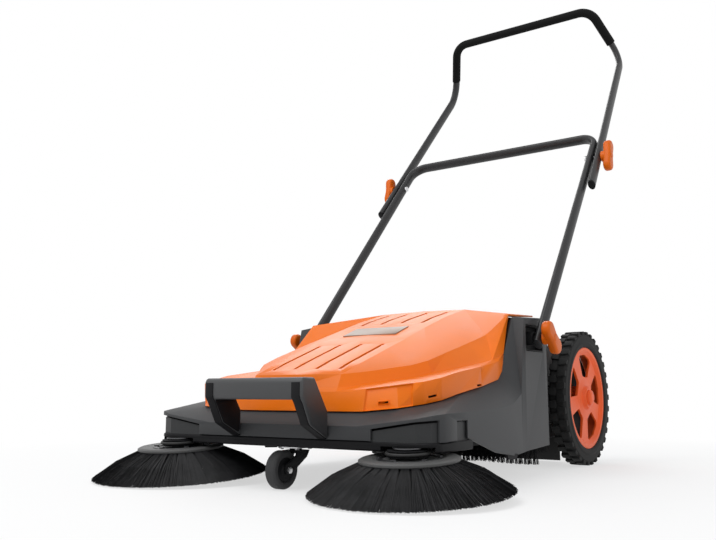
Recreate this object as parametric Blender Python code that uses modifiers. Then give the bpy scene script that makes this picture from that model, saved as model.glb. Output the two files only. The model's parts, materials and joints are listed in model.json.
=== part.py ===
"""Manual floor sweeper: two side brushes, a main roller, a lift-out hopper and a folding push handle.

Metres, +Z up, front towards -Y, left and right as seen by someone who faces its front.
Everything is laid out from the rear axle (Y = 0) and moved onto the footprint's centre at the end.
"""

import math

import bmesh
import bpy
from mathutils import Matrix, Vector
from mathutils.bvhtree import BVHTree

# Clearances
GAP = 0.0003
RUNNING_GAP = 0.0005

# Rear wheels and axle
WHEEL_RADIUS = 0.140
TYRE_WIDTH = 0.038
TYRE_FACE_X = 0.263
RIM_RADIUS = WHEEL_RADIUS - 0.034
RIM_SEGMENTS = 24
SPOKES = 5
SPOKE_PHASE = math.radians(48)
SPOKE_WINDOW_INNER = 0.048
SPOKE_WINDOW_OUTER = RIM_RADIUS - 0.017
SPOKE_WINDOW_ANGLE = math.radians(42)
HUB_RADIUS = 0.024
AXLE_RADIUS = 0.008
AXLE_END = 0.0025
HUB_CAP_RADIUS = 0.0165

# Roller brush and its gears
GEAR_MODULE = 0.0045
WHEEL_GEAR_TEETH = 40
PINION_TEETH = 14
GEAR_WIDTH = 0.0055
GEAR_FACE_X = 0.2078
PRESSURE_ANGLE = math.radians(20)
TOOTH_BACKLASH = 0.0006
ROLLER_Z = 0.0775
ROLLER_TIP_RADIUS = 0.0755
ROLLER_CORE_RADIUS = 0.022
ROLLER_HALF_LENGTH = 0.188
ROLLER_FLUTES = 8
ROLLER_SHAFT_RADIUS = 0.008
BEARING_RADIUS = 0.016
BUSH_RADIUS = 0.014
BEARING_INNER_X = 0.2000
BEARING_OUTER_X = 0.2072

# Belt drive from wheel to side brush
WHEEL_PULLEY_RADIUS = 0.045
BRUSH_PULLEY_RADIUS = 0.033
PULLEY_WIDTH = 0.0095
WHEEL_PULLEY_X = 0.2210
BELT_RADIUS = 0.003
GUIDE_Y = -0.500
GUIDE_BELT_X = 0.2225
GUIDE_PIN_RADIUS = 0.005
GUIDE_PIN_TOP = 0.108
GUIDE_EYE_RADIUS = 0.008
GUIDE_ARM_WIDTH = 0.020

# Side brushes
BRUSH_X = 0.2335
BRUSH_Y = -0.683
BRUSH_TIP_Z = 0.0108
BRUSH_TILT = math.radians(3.7)
BRUSH_TIP_RADIUS = 0.150
BRUSH_DISC_RADIUS = 0.0735
BRUSH_DISC_LOW = 0.043
BRUSH_DISC_RIM = 0.006
BRUSH_DISC_FLOOR = 0.004
BOLT_CIRCLE = 0.0435
BRUSH_PULLEY_LOW = 0.0503
BRUSH_TUFTS = 16
SPINDLE_RADIUS = 0.006
SPINDLE_FLANGE_RADIUS = 0.024
SPINDLE_FLANGE_LOW = 0.0612
SPINDLE_FLANGE = 0.0022
SPINDLE_TOP = 0.0680

# Housing
HOUSING_WALL = 0.0032
FRONT_Y = -0.700
WING_BOTTOM_Z = 0.0805
TOWER_Z = 0.280
RIM_DIP = 0.012
COVER_LAP = 0.009
CHEEK_X = 0.208

# Hopper cover and bin
COVER_WALL = 0.003
COVER_LIFT = Vector((0.0, -0.0006, 0.0008))
PLATE_HALF_WIDTH = 0.059
PLATE_FRONT_Y = -0.4430
PLATE_REAR_Y = -0.3960
PLATE_SEAT = 0.0015
PLATE_RISE = 0.0006
PANEL_GROOVE = 0.0016
BIN_HALF_WIDTH = 0.185
BIN_WALL = 0.003
BIN_FRONT_Y = -0.645
BIN_REAR_Y = -0.215
BIN_POST_RADIUS = 0.004

# Front beam, carry handle and caster
BEAM_BOTTOM_Z = 0.066
BEAM_TOP_Z = 0.0802
BEAM_HALF_WIDTH = 0.281
BEAM_SETBACK = 0.002
BEAM_CORNER = 0.026
BEAM_REAR_Y = -0.560
BEAM_NOTCH_Y = -0.664
BEAM_STRIP_X = 0.2708
BEAM_STRIP_REAR_Y = -0.580
CARRY_HALF_WIDTH = 0.100
CARRY_ARM = 0.020
CARRY_TOP_Z = 0.173
CARRY_BAR = 0.033
CASTER_Y = -0.655
CASTER_TRAIL = 0.035
CASTER_RADIUS = 0.030
CASTER_WIDTH = 0.022
FORK_GAP = 0.0015
FORK_PLATE = 0.003
CASTER_PLATE_RADIUS = 0.029
CASTER_PLATE = 0.003
FORK_DROP = 0.0032

# Push handle
LEAN = math.radians(41)
PIVOT_Y = -0.279
PIVOT_Z = 0.250
TUBE_HALF_WIDTH = 0.008
TUBE_HALF_DEPTH = 0.0125
TUBE_WALL = 0.0015
LOWER_LEG_X = 0.2700
CROSSBAR_X = 0.2530
CLAMP_REACH = 0.583
CROSSBAR_REACH = CLAMP_REACH + 0.0895
LOWER_TAIL = 0.016
CROSSBAR_CORNER = 0.038
UPPER_START = CLAMP_REACH - 0.107
UPPER_LEG_X = 0.2738
BEND_REACH = CLAMP_REACH + 0.4717
BEND_X = 0.2511
GRIP_LEAN = math.radians(-36.5)
GRIP_RISE = 0.148
GRIP_CORNER_X = 0.200
BEND_RADIUS = 0.060
GRIP_CORNER_RADIUS = 0.045
GRIP_WALL = 0.0027
PIVOT_BOLT_RADIUS = 0.004
KNOB_HALF_LENGTH = 0.034
KNOB_LOBE_RADIUS = 0.0135
KNOB_THICKNESS = 0.014
KNOB_BOSS = 0.007
PLUG_STEM = 0.009

# Bracket that carries the handle's leg in the side of the housing
BRACKET_REACH = 0.049
BRACKET_HALF_HEIGHT = 0.024
BRACKET_INNER_X = 0.238
BRACKET_FACE_X = 0.2562
BRACKET_FLOOR = 0.004

BOTH_SIDES = (("left", -1), ("right", 1))
WHEEL_X = TYRE_FACE_X - TYRE_WIDTH / 2
AXLE_HALF_LENGTH = TYRE_FACE_X + AXLE_END
AXLE = Vector((0.0, 0.0, WHEEL_RADIUS))
GEAR_DISTANCE = GEAR_MODULE * (WHEEL_GEAR_TEETH + PINION_TEETH) / 2
ROLLER = Vector((0.0, -math.sqrt(GEAR_DISTANCE**2 - (WHEEL_RADIUS - ROLLER_Z) ** 2), ROLLER_Z))
ALONG_LEG = Vector((0.0, math.sin(LEAN), math.cos(LEAN)))
ALONG_GRIP = Vector((0.0, math.sin(GRIP_LEAN), math.cos(GRIP_LEAN)))
X_AXIS = Vector((1.0, 0.0, 0.0))
Z_AXIS = Vector((0.0, 0.0, 1.0))

parts = None
finished = []


def clear_scene():
    """Start from an empty scene with one collection for the sweeper's pieces."""
    global parts
    for old in list(bpy.data.objects):
        bpy.data.objects.remove(old, do_unlink=True)
    parts = bpy.data.collections.new("floor_sweeper")
    bpy.context.scene.collection.children.link(parts)


def make_material(name, colour, roughness, metallic=0.0):
    """A Principled material in one colour."""
    material = bpy.data.materials.new(name)
    material.use_nodes = True
    shader = material.node_tree.nodes["Principled BSDF"]
    shader.inputs["Base Color"].default_value = (*colour, 1.0)
    shader.inputs["Roughness"].default_value = roughness
    shader.inputs["Metallic"].default_value = metallic
    return material


def object_from(bm, name="shape"):
    """Turn a bmesh into a linked object, welded and with its faces pointing out."""
    bmesh.ops.remove_doubles(bm, verts=bm.verts, dist=1e-6)
    bmesh.ops.recalc_face_normals(bm, faces=bm.faces)
    mesh = bpy.data.meshes.new(name)
    bm.to_mesh(mesh)
    bm.free()
    shape = bpy.data.objects.new(name, mesh)
    parts.objects.link(shape)
    return shape


def applied(shape):
    """Replace an object by its evaluated, welded mesh, with its modifiers and placing applied."""
    bpy.context.view_layer.update()
    graph = bpy.context.evaluated_depsgraph_get()
    mesh = bpy.data.meshes.new_from_object(shape.evaluated_get(graph), depsgraph=graph)
    mesh.transform(shape.matrix_world)
    bpy.data.objects.remove(shape, do_unlink=True)
    bm = bmesh.new()
    bm.from_mesh(mesh)
    bpy.data.meshes.remove(mesh)
    return object_from(bm)


def finish(name, shape, material, pivot=(0.0, 0.0, 0.0)):
    """Name a piece, give it its material, and put its origin on the axis that it turns about."""
    pivot = Vector(pivot)
    shape.name = name
    shape.data.name = name
    shape.data.transform(Matrix.Translation(-pivot))
    shape.location = pivot
    shape.data.materials.clear()
    shape.data.materials.append(materials[material])
    shape.data.shade_smooth()
    shape.data.set_sharp_from_angle(angle=math.radians(32))
    finished.append(shape)
    return shape


def boolean(target, tools, operation):
    """Cut or join a shape with others, which are used up."""
    for tool in tools:
        modifier = target.modifiers.new(operation.lower(), "BOOLEAN")
        modifier.operation = operation
        modifier.object = tool
        modifier.solver = "EXACT"
    result = applied(target)
    for tool in tools:
        bpy.data.objects.remove(tool, do_unlink=True)
    return result


def cut(target, *tools):
    """The target less the tools."""
    return boolean(target, tools, "DIFFERENCE")


def join(target, *tools):
    """The target and the tools as one body."""
    return boolean(target, tools, "UNION")


def group(shapes):
    """Several separate solids in one object."""
    bm = bmesh.new()
    for shape in shapes:
        bm.from_mesh(shape.data)
        bpy.data.objects.remove(shape, do_unlink=True)
    return object_from(bm)


def box(low, high):
    """A box between two corners."""
    bm = bmesh.new()
    bmesh.ops.create_cube(bm, size=1.0)
    low, high = Vector(low), Vector(high)
    bmesh.ops.scale(bm, vec=high - low, verts=bm.verts)
    bmesh.ops.translate(bm, vec=(low + high) / 2, verts=bm.verts)
    return object_from(bm)


def softened(shape, width, segments=1, angle=30):
    """Round the sharp edges of a shape."""
    modifier = shape.modifiers.new("bevel", "BEVEL")
    modifier.width = width
    modifier.segments = segments
    modifier.limit_method = "ANGLE"
    modifier.angle_limit = math.radians(angle)
    return applied(shape)


def prism(outline, axis, low, high):
    """An outline across one axis, extruded along it from low to high."""
    bm = bmesh.new()
    spots = {
        "X": lambda a, b: (low, a, b),
        "Y": lambda a, b: (a, low, b),
        "Z": lambda a, b: (a, b, low),
    }[axis]
    face = bm.faces.new([bm.verts.new(spots(a, b)) for a, b in outline])
    grown = bmesh.ops.extrude_face_region(bm, geom=[face])
    step = Vector([high - low if name == axis else 0.0 for name in "XYZ"])
    raised = [item for item in grown["geom"] if isinstance(item, bmesh.types.BMVert)]
    bmesh.ops.translate(bm, vec=step, verts=raised)
    return object_from(bm)


def standing_on(origin, axis):
    """The placing that puts local Z along an axis through a point."""
    turn = Z_AXIS.rotation_difference(Vector(axis).normalized())
    return Matrix.Translation(Vector(origin)) @ turn.to_matrix().to_4x4()


def turned(profile, origin, axis, segments=24, closed=True):
    """A profile of (radius, height) turned about an axis; an open profile starts and ends on it."""
    bm = bmesh.new()
    verts = [bm.verts.new((radius, 0.0, height)) for radius, height in profile]
    pairs = list(zip(verts, verts[1:]))
    if closed:
        pairs.append((verts[-1], verts[0]))
    for first, second in pairs:
        bm.edges.new((first, second))
    shape = object_from(bm)
    screw = shape.modifiers.new("turn", "SCREW")
    screw.axis = "Z"
    screw.angle = math.tau
    screw.steps = segments
    screw.render_steps = segments
    screw.use_merge_vertices = True
    screw.merge_threshold = 1e-5
    shape.matrix_world = standing_on(origin, axis)
    return applied(shape)


def rod(radius, origin, axis, low, high, segments=14):
    """A plain round bar along an axis, from low to high."""
    profile = [(0.0, high), (radius, high), (radius, low), (0.0, low)]
    return turned(profile, origin, axis, segments, closed=False)


def ring(inner, outer, origin, axis, low, high, segments=16):
    """A round sleeve."""
    profile = [(inner, high), (outer, high), (outer, low), (inner, low)]
    return turned(profile, origin, axis, segments)


def bolt_head(origin, axis, radius, height):
    """A hexagon head that stands on a face."""
    return rod(radius, origin, axis, 0.0, height, segments=6)


def loft(rows, close_rows=False, close_ends=False, flat_ends=False):
    """A skin between rows of points; rows and their ends may close into rings."""
    bm = bmesh.new()
    grid = [[bm.verts.new(point) for point in row] for row in rows]
    pairs = list(zip(grid, grid[1:]))
    if close_rows:
        pairs.append((grid[-1], grid[0]))
    for near, far in pairs:
        count = len(near)
        for i in range(count if close_ends else count - 1):
            j = (i + 1) % count
            corners = [near[i], near[j], far[j], far[i]]
            spots = [tuple(round(c, 6) for c in vert.co) for vert in corners]
            kept = [v for k, v in enumerate(corners) if spots[k] != spots[k - 1]]
            if len(kept) > 2:
                bm.faces.new(kept)
    if flat_ends:
        bm.faces.new(grid[0])
        bm.faces.new(grid[-1])
    return object_from(bm)


def mirrored(shape):
    """Complete a half that is open at X = 0."""
    mirror = shape.modifiers.new("mirror", "MIRROR")
    mirror.use_axis = (True, False, False)
    mirror.use_clip = True
    mirror.use_mirror_merge = True
    mirror.merge_threshold = 0.0001
    return applied(shape)


def thickened(shape, wall, offset):
    """Give an open skin its wall: offset -1 grows inwards, +1 outwards."""
    solidify = shape.modifiers.new("wall", "SOLIDIFY")
    solidify.thickness = wall
    solidify.offset = offset
    solidify.use_even_offset = True
    solidify.use_rim = True
    return applied(shape)


def rounded_path(corners, radii, steps=3):
    """Points through corners, with an arc at each; each point comes with (corner, share of its arc)."""
    path = [(corners[0], 0, 1.0)]
    for i in range(1, len(corners) - 1):
        back = (corners[i - 1] - corners[i]).normalized()
        ahead = (corners[i + 1] - corners[i]).normalized()
        half = back.angle(ahead) / 2
        reach = radii[i - 1] / math.tan(half)
        centre = corners[i] + (back + ahead).normalized() * (radii[i - 1] / math.sin(half))
        start = corners[i] + back * reach - centre
        end = corners[i] + ahead * reach - centre
        sweep_angle = start.angle(end)
        for k in range(steps + 1):
            share = k / steps
            spot = start * math.sin((1 - share) * sweep_angle) + end * math.sin(share * sweep_angle)
            path.append((centre + spot / math.sin(sweep_angle), i, share))
    path.append((corners[-1], len(corners) - 1, 0.0))
    return path


def sweep(path, pitches, half_width, half_depth, bore=None, sides=8):
    """An oval bar along a path: width across the pitch direction and X, depth square to both.

    With a bore of (half width, half depth) the bar is a tube that is open at its ends.
    """
    sections = [(half_width, half_depth)] + ([bore] if bore else [])
    loops = [[] for _ in sections]
    for i, point in enumerate(path):
        before = path[max(i - 1, 0)]
        after = path[min(i + 1, len(path) - 1)]
        tangent = (after - before).normalized()
        broad = X_AXIS.cross(pitches[i])
        broad = (broad - broad.dot(tangent) * tangent).normalized()
        narrow = tangent.cross(broad)
        for loop, (width, depth) in zip(loops, sections):
            turn = [math.tau * k / sides for k in range(sides)]
            loop.append([point + narrow * width * math.cos(a) + broad * depth * math.sin(a) for a in turn])
    if bore:
        rows = loops[0] + loops[1][::-1]
        return loft(rows, close_rows=True, close_ends=True)
    return loft(loops[0], close_ends=True, flat_ends=True)


def on_leg(x, reach):
    """A point in the plane of the handle, by its distance up the leg from the pivot."""
    return Vector((x, PIVOT_Y, PIVOT_Z)) + ALONG_LEG * reach


# Housing: stations round the right half, from the front centre to the rear centre.
# Each has the foot of its wall (x, y, bottom z), the wall's top z, and the inner rim (x, y, z).
HOUSING_STATIONS = [
    ((0.0, FRONT_Y, WING_BOTTOM_Z), 0.1010, (0.0, -0.664, 0.127)),
    ((0.092, FRONT_Y, WING_BOTTOM_Z), 0.1010, (0.092, -0.664, 0.127)),
    ((0.150, FRONT_Y, WING_BOTTOM_Z), 0.1010, (0.140, -0.664, 0.127)),
    ((0.250, FRONT_Y, WING_BOTTOM_Z), 0.1130, (0.192, -0.654, 0.128)),
    ((0.275, -0.691, WING_BOTTOM_Z), 0.1180, (0.224, -0.628, 0.133)),
    ((0.284, -0.668, WING_BOTTOM_Z), 0.1205, (0.238, -0.600, 0.139)),
    ((0.2785, -0.590, 0.0830), 0.1215, (0.243, -0.560, 0.148)),
    ((0.2720, -0.477, 0.0620), 0.1240, (0.242, -0.475, 0.162)),
    ((0.2680, -0.400, 0.0450), 0.1310, (0.239, -0.405, 0.174)),
    ((0.2620, -0.350, 0.0465), 0.1480, (0.2345, -0.378, 0.188)),
    ((0.2585, -0.322, 0.0480), 0.2850, (0.226, -0.318, 0.290)),
    ((0.2555, -0.213, 0.0525), 0.2920, (0.222, -0.213, 0.296)),
    ((0.2525, -0.203, 0.0530), 0.2890, (0.212, -0.213, 0.298)),
    ((CHEEK_X, -0.203, 0.0600), 0.2850, (0.176, -0.212, 0.303)),
    ((0.2050, -0.030, 0.0600), 0.2350, (0.125, -0.203, 0.310)),
    ((0.2050, 0.030, 0.0700), 0.1900, (0.080, -0.199, 0.314)),
    ((0.1850, 0.055, 0.0750), 0.1700, (0.042, -0.197, 0.317)),
    ((0.0, 0.058, 0.0750), 0.1700, (0.0, -0.196, 0.319)),
]


# The notches in the housing's wall over each side brush, and the beam's dark upstands behind them.
CORNER_NOTCH = [
    (0.176, FRONT_Y - 0.015), (0.300, FRONT_Y - 0.015), (0.300, -0.679), (0.2745, -0.679),
    (0.2712, -0.6872), (0.2490, -0.6950), (0.176, -0.6950),
]
CORNER_UPSTAND = [
    (0.172, -0.6964), (0.2493, -0.6964), (0.2717, -0.6882), (0.2781, -0.6720),
    (0.2752, -0.6708), (0.2690, -0.6858), (0.2488, -0.6934), (0.172, -0.6934),
]
CORNER_CROWN = [(0.14, 0.0880), (0.176, 0.0975), (0.248, 0.1085), (0.32, 0.1155)]
SIDE_NOTCH_FRONT_Y = -0.630
SIDE_NOTCH_REAR_Y = -0.592
SIDE_UPSTAND = [(0.2752, -0.640), (0.2780, -0.640), (0.2741, -0.586), (0.2713, -0.586)]
UPSTAND_DROP = 0.003


def cover_seat(station):
    """The point of the deck where the hopper cover's edge stands, a lap outside the inner rim."""
    (x, y, _), top, rim = station
    outer, inner = Vector((x, y, top)), Vector(rim)
    run = (inner.xy - outer.xy).length
    return outer.lerp(inner, 1 - COVER_LAP / run)


def inner_rim(station):
    """The inner rim of the deck, which dips under the cover's flat top."""
    dip = RIM_DIP if station[2][2] > TOWER_Z else 0.0
    return Vector(station[2]) - Z_AXIS * dip


def make_housing():
    """The moulded shell: side walls, sloping deck, inner rim and the cheeks beside the roller."""
    foot = [Vector(station[0]) for station in HOUSING_STATIONS]
    shoulder = [Vector((*station[0][:2], station[1])) for station in HOUSING_STATIONS]
    seat = [cover_seat(station) for station in HOUSING_STATIONS]
    rim = [inner_rim(station) for station in HOUSING_STATIONS]
    shell = thickened(mirrored(loft([foot, shoulder, seat, rim])), HOUSING_WALL, -1)
    tools = [
        rod(BUSH_RADIUS + GAP, AXLE, X_AXIS, -0.22, 0.22, 20),
        rod(BEARING_RADIUS + GAP, ROLLER, X_AXIS, -0.22, 0.22, 20),
    ]
    for _, side in BOTH_SIDES:
        tools.append(side_box(side, (0.2092, -0.212, 0.076), (0.2325, -0.190, 0.158)))
        tools.append(corner_block(side, CORNER_NOTCH, 0.070, 0.0))
        tools.append(side_box(side, (0.270, SIDE_NOTCH_FRONT_Y, 0.070), (0.300, SIDE_NOTCH_REAR_Y, 0.1095)))
        reach = BRACKET_REACH + GAP
        height = BRACKET_HALF_HEIGHT + GAP
        low = (BRACKET_INNER_X - 0.01, PIVOT_Y - reach + 0.0145, PIVOT_Z - height)
        high = (BRACKET_FACE_X + 0.02, PIVOT_Y + reach, PIVOT_Z + height)
        tools.append(side_box(side, low, high))
    return finish("housing", cut(shell, *tools), "shell_grey")


def corner_block(side, outline, low, drop):
    """A block over a plan outline near a front corner, whose top falls towards the middle."""
    block = prism([(side * x, y) for x, y in outline], "Z", low, 0.14)
    crown = [(x, z - drop) for x, z in CORNER_CROWN] + [(0.32, 0.16), (0.14, 0.16)]
    above = prism([(side * x, z) for x, z in crown], "Y", FRONT_Y - 0.03, FRONT_Y + 0.06)
    return cut(block, above)


def side_box(side, low, high):
    """A box given for the right side, on either side."""
    xs = sorted((side * low[0], side * high[0]))
    return box((xs[0], low[1], low[2]), (xs[1], high[1], high[2]))


# Hopper cover: rows of its inner skin on the right half, from the front centre to the rear.
COVER_RIB = [
    (0.0, -0.668, 0.150), (0.092, -0.668, 0.150), (0.140, -0.666, 0.153), (0.194, -0.655, 0.159),
    (0.228, -0.634, 0.164), (0.241, -0.605, 0.170), (0.245, -0.560, 0.179), (0.243, -0.475, 0.190),
    (0.240, -0.405, 0.201),
]
COVER_WALL_FOOT = [
    (0.0, -0.663, 0.156), (0.090, -0.662, 0.156), (0.118, -0.632, 0.160), (0.146, -0.594, 0.166),
    (0.168, -0.565, 0.171), (0.186, -0.535, 0.178), (0.203, -0.495, 0.186), (0.220, -0.440, 0.196),
    (0.233, -0.406, 0.204),
]
COVER_FOLD = [
    (0.0, -0.659, 0.177), (0.089, -0.652, 0.177), (0.112, -0.622, 0.181), (0.138, -0.588, 0.187),
    (0.160, -0.560, 0.192), (0.177, -0.533, 0.200), (0.186, -0.485, 0.215), (0.194, -0.415, 0.235),
    (0.200, -0.360, 0.251),
]
COVER_PANEL = [
    (0.0, -0.659, 0.177), (0.089, -0.652, 0.177), (0.093, -0.600, 0.197), (0.095, -0.560, 0.211),
    (0.096, -0.520, 0.225), (0.098, -0.470, 0.242), (0.099, -0.405, 0.266), (0.098, -0.330, 0.290),
    (0.094, -0.235, 0.314),
]
PANEL_CROWN = 0.002
EDGE_SLOTS = [(2, 0.62, 0.016), (4, 0.45, 0.016), (6, 0.80, 0.016)]


def cover_rows():
    """The rows of the cover's inner skin, and the middle of its top panel."""
    seats = [cover_seat(station) + COVER_LIFT for station in HOUSING_STATIONS]
    low, high = seats[9], seats[10]
    edge = seats[:10]
    rib = [Vector(p) for p in COVER_RIB] + [low.lerp(high, 0.15)]
    foot = [Vector(p) for p in COVER_WALL_FOOT] + [low.lerp(high, 0.30)]
    fold = [Vector(p) for p in COVER_FOLD] + seats[10:]
    panel = [Vector(p) for p in COVER_PANEL]
    crest = panel[-1]
    middle = [Vector((0.0, p.y, p.z + (PANEL_CROWN if i else 0.0))) for i, p in enumerate(panel)]
    extra = len(fold) - len(panel)
    rear = [crest] * (extra - 1) + [middle[-1]]
    return edge, rib, foot, fold, panel + rear, middle


def make_cover_skin():
    """The cover's inner skin as one open surface."""
    edge, rib, foot, fold, panel, middle = cover_rows()
    lower = loft([edge, rib, foot, fold[: len(foot)]])
    upper = loft([fold, panel])
    top = loft([panel[: len(middle)], middle])
    return mirrored(group([lower, upper, top]))


def panel_slot(x, y_front, y_rear, half_width, surface, depth, rise=0.02):
    """A straight bar that follows the cover's top from front to rear, from its depth to its rise."""
    spots = [Vector((x, y, surface_height(surface, x, y))) for y in (y_front, y_rear)]
    along = (spots[1] - spots[0]).normalized()
    up = X_AXIS.cross(along)
    middle = (spots[0] + spots[1]) / 2
    half = (spots[1] - spots[0]).length / 2
    turn = Matrix((X_AXIS, along, up)).transposed().to_4x4()
    bar = box((-half_width, -half, -depth), (half_width, half, rise))
    bar.matrix_world = Matrix.Translation(middle) @ turn
    return applied(bar)


def edge_slot(side, edge, rib, station, share, length):
    """A short bar along the lower edge of the cover's side, by its station and its share of the next."""
    near, far = edge[station].lerp(rib[station], 0.32), edge[station + 1].lerp(rib[station + 1], 0.32)
    middle = near.lerp(far, share)
    along = (far - near).normalized()
    up = (rib[station] - edge[station]).normalized()
    out = along.cross(up).normalized()
    up = out.cross(along)
    turn = Matrix((along, up, out)).transposed().to_4x4()
    bar = box((-length / 2, -0.0016, -0.012), (length / 2, 0.0016, 0.012))
    bar.matrix_world = Matrix.Diagonal((side, 1.0, 1.0, 1.0)) @ Matrix.Translation(middle) @ turn
    bar = applied(bar)
    if side < 0:
        bar.data.flip_normals()
    return bar


def surface_height(tree, x, y):
    """The height of the first surface met from above."""
    return tree.ray_cast(Vector((x, y, 1.0)), Vector((0.0, 0.0, -1.0)))[0].z


def tree_of(shape):
    """A search tree of a shape's faces."""
    bm = bmesh.new()
    bm.from_mesh(shape.data)
    tree = BVHTree.FromBMesh(bm)
    bm.free()
    return tree


def make_hopper():
    """The cover with its grooves and bare plate, and the bin that it closes."""
    skin = make_cover_skin()
    inner = tree_of(skin)
    cover = thickened(skin, COVER_WALL, 1)
    outer = tree_of(cover)
    tools = []
    for x in (-0.070, -0.0233, 0.0233, 0.070):
        tools.append(panel_slot(x, -0.632, -0.500, 0.0035, outer, PANEL_GROOVE))
        tools.append(panel_slot(x, -0.365, -0.262, 0.0035, outer, PANEL_GROOVE))
    front, rear = PLATE_FRONT_Y - GAP, PLATE_REAR_Y + GAP
    tools.append(panel_slot(0.0, front, rear, PLATE_HALF_WIDTH + GAP, outer, PLATE_SEAT))
    edge, rib = cover_rows()[:2]
    for _, side in BOTH_SIDES:
        tools += [edge_slot(side, edge, rib, *slot) for slot in EDGE_SLOTS]
    finish("hopper_cover", cut(cover, *tools), "orange")
    depth = PLATE_SEAT - GAP
    plate = panel_slot(0.0, PLATE_FRONT_Y, PLATE_REAR_Y, PLATE_HALF_WIDTH, outer, depth, PLATE_RISE)
    finish("cover_plate", plate, "plate_grey")
    make_bin(inner)


def bin_rim_z(y):
    """The bin's sloping rim."""
    return 0.142 + (y - BIN_FRONT_Y) * 0.2163


def make_bin(lid):
    """The dirt bin: open above under the cover, with an inlet towards the roller and four posts."""
    profile = [
        (BIN_FRONT_Y, 0.098), (-0.630, 0.084), (-0.552, 0.084), (-0.530, 0.058), (-0.245, 0.058),
        (BIN_REAR_Y, 0.080), (BIN_REAR_Y, bin_rim_z(BIN_REAR_Y)), (BIN_FRONT_Y, bin_rim_z(BIN_FRONT_Y)),
    ]
    wall = BIN_WALL
    hollow = [
        (BIN_FRONT_Y + wall, 0.0995), (-0.6287, 0.087), (-0.5505, 0.087), (-0.5285, 0.061), (-0.246, 0.061),
        (BIN_REAR_Y - wall, 0.0815), (BIN_REAR_Y - wall, 0.40), (BIN_FRONT_Y + wall, 0.40),
    ]
    half = BIN_HALF_WIDTH
    body = prism(profile, "X", -half, half)
    room = prism(hollow, "X", -half + wall, half - wall)
    inlet = box((-half + 0.012, BIN_REAR_Y - 0.02, 0.088), (half - 0.012, BIN_REAR_Y + 0.02, 0.176))
    body = cut(body, room, inlet)
    posts = []
    for x in (-half + 0.0085, half - 0.0085):
        for y in (-0.500, -0.300):
            reach = (-BIN_POST_RADIUS, BIN_POST_RADIUS)
            top = min(surface_height(lid, x + dx, y + dy) for dx in reach for dy in reach)
            posts.append(rod(BIN_POST_RADIUS, (x, y, 0.0), Z_AXIS, 0.0595, top - GAP, 12))
    finish("hopper_bin", join(body, *posts), "black_plastic")


def make_front_beam():
    """The black cross beam under the front edge, with pockets for the brush pulleys."""
    half = BEAM_HALF_WIDTH
    front = FRONT_Y + BEAM_SETBACK
    corner = BEAM_CORNER
    arc = [math.radians(15 * k) for k in range(7)]
    right = [(half - corner + corner * math.sin(a), front + corner - corner * math.cos(a)) for a in arc]
    outline = right + [(half, BEAM_REAR_Y), (-half, BEAM_REAR_Y)] + [(-x, y) for x, y in reversed(right)]
    beam = softened(prism(outline, "Z", BEAM_BOTTOM_Z, BEAM_TOP_Z), 0.002)
    tools = []
    for _, side in BOTH_SIDES:
        axis = brush_axis()
        foot = brush_foot(side)
        tools.append(rod(0.043, foot, axis, 0.0, SPINDLE_FLANGE_LOW + SPINDLE_FLANGE + GAP, 24))
        tools.append(rod(SPINDLE_RADIUS + GAP, foot, axis, 0.0, 0.12, 16))
        tools.append(side_box(side, (0.188, BEAM_NOTCH_Y, 0.04), (BEAM_STRIP_X, BEAM_REAR_Y + 0.05, 0.12)))
        tools.append(side_box(side, (0.24, BEAM_STRIP_REAR_Y, 0.04), (0.30, BEAM_REAR_Y + 0.05, 0.12)))
    beam = cut(beam, *tools)
    foot = BEAM_TOP_Z - 0.002
    for _, side in BOTH_SIDES:
        upstand = [(side * x, y) for x, y in SIDE_UPSTAND]
        beam = join(beam, corner_block(side, CORNER_UPSTAND, foot, UPSTAND_DROP))
        beam = join(beam, prism(upstand, "Z", foot, 0.108))
    return finish("front_beam", beam, "black_plastic")


def brush_axis():
    """The side brushes' axis, leaning forward so that the front tips press down."""
    return Vector((0.0, -math.sin(BRUSH_TILT), math.cos(BRUSH_TILT)))


def brush_foot(side):
    """The centre of a side brush at its tips."""
    return Vector((side * BRUSH_X, BRUSH_Y, BRUSH_TIP_Z))


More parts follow.
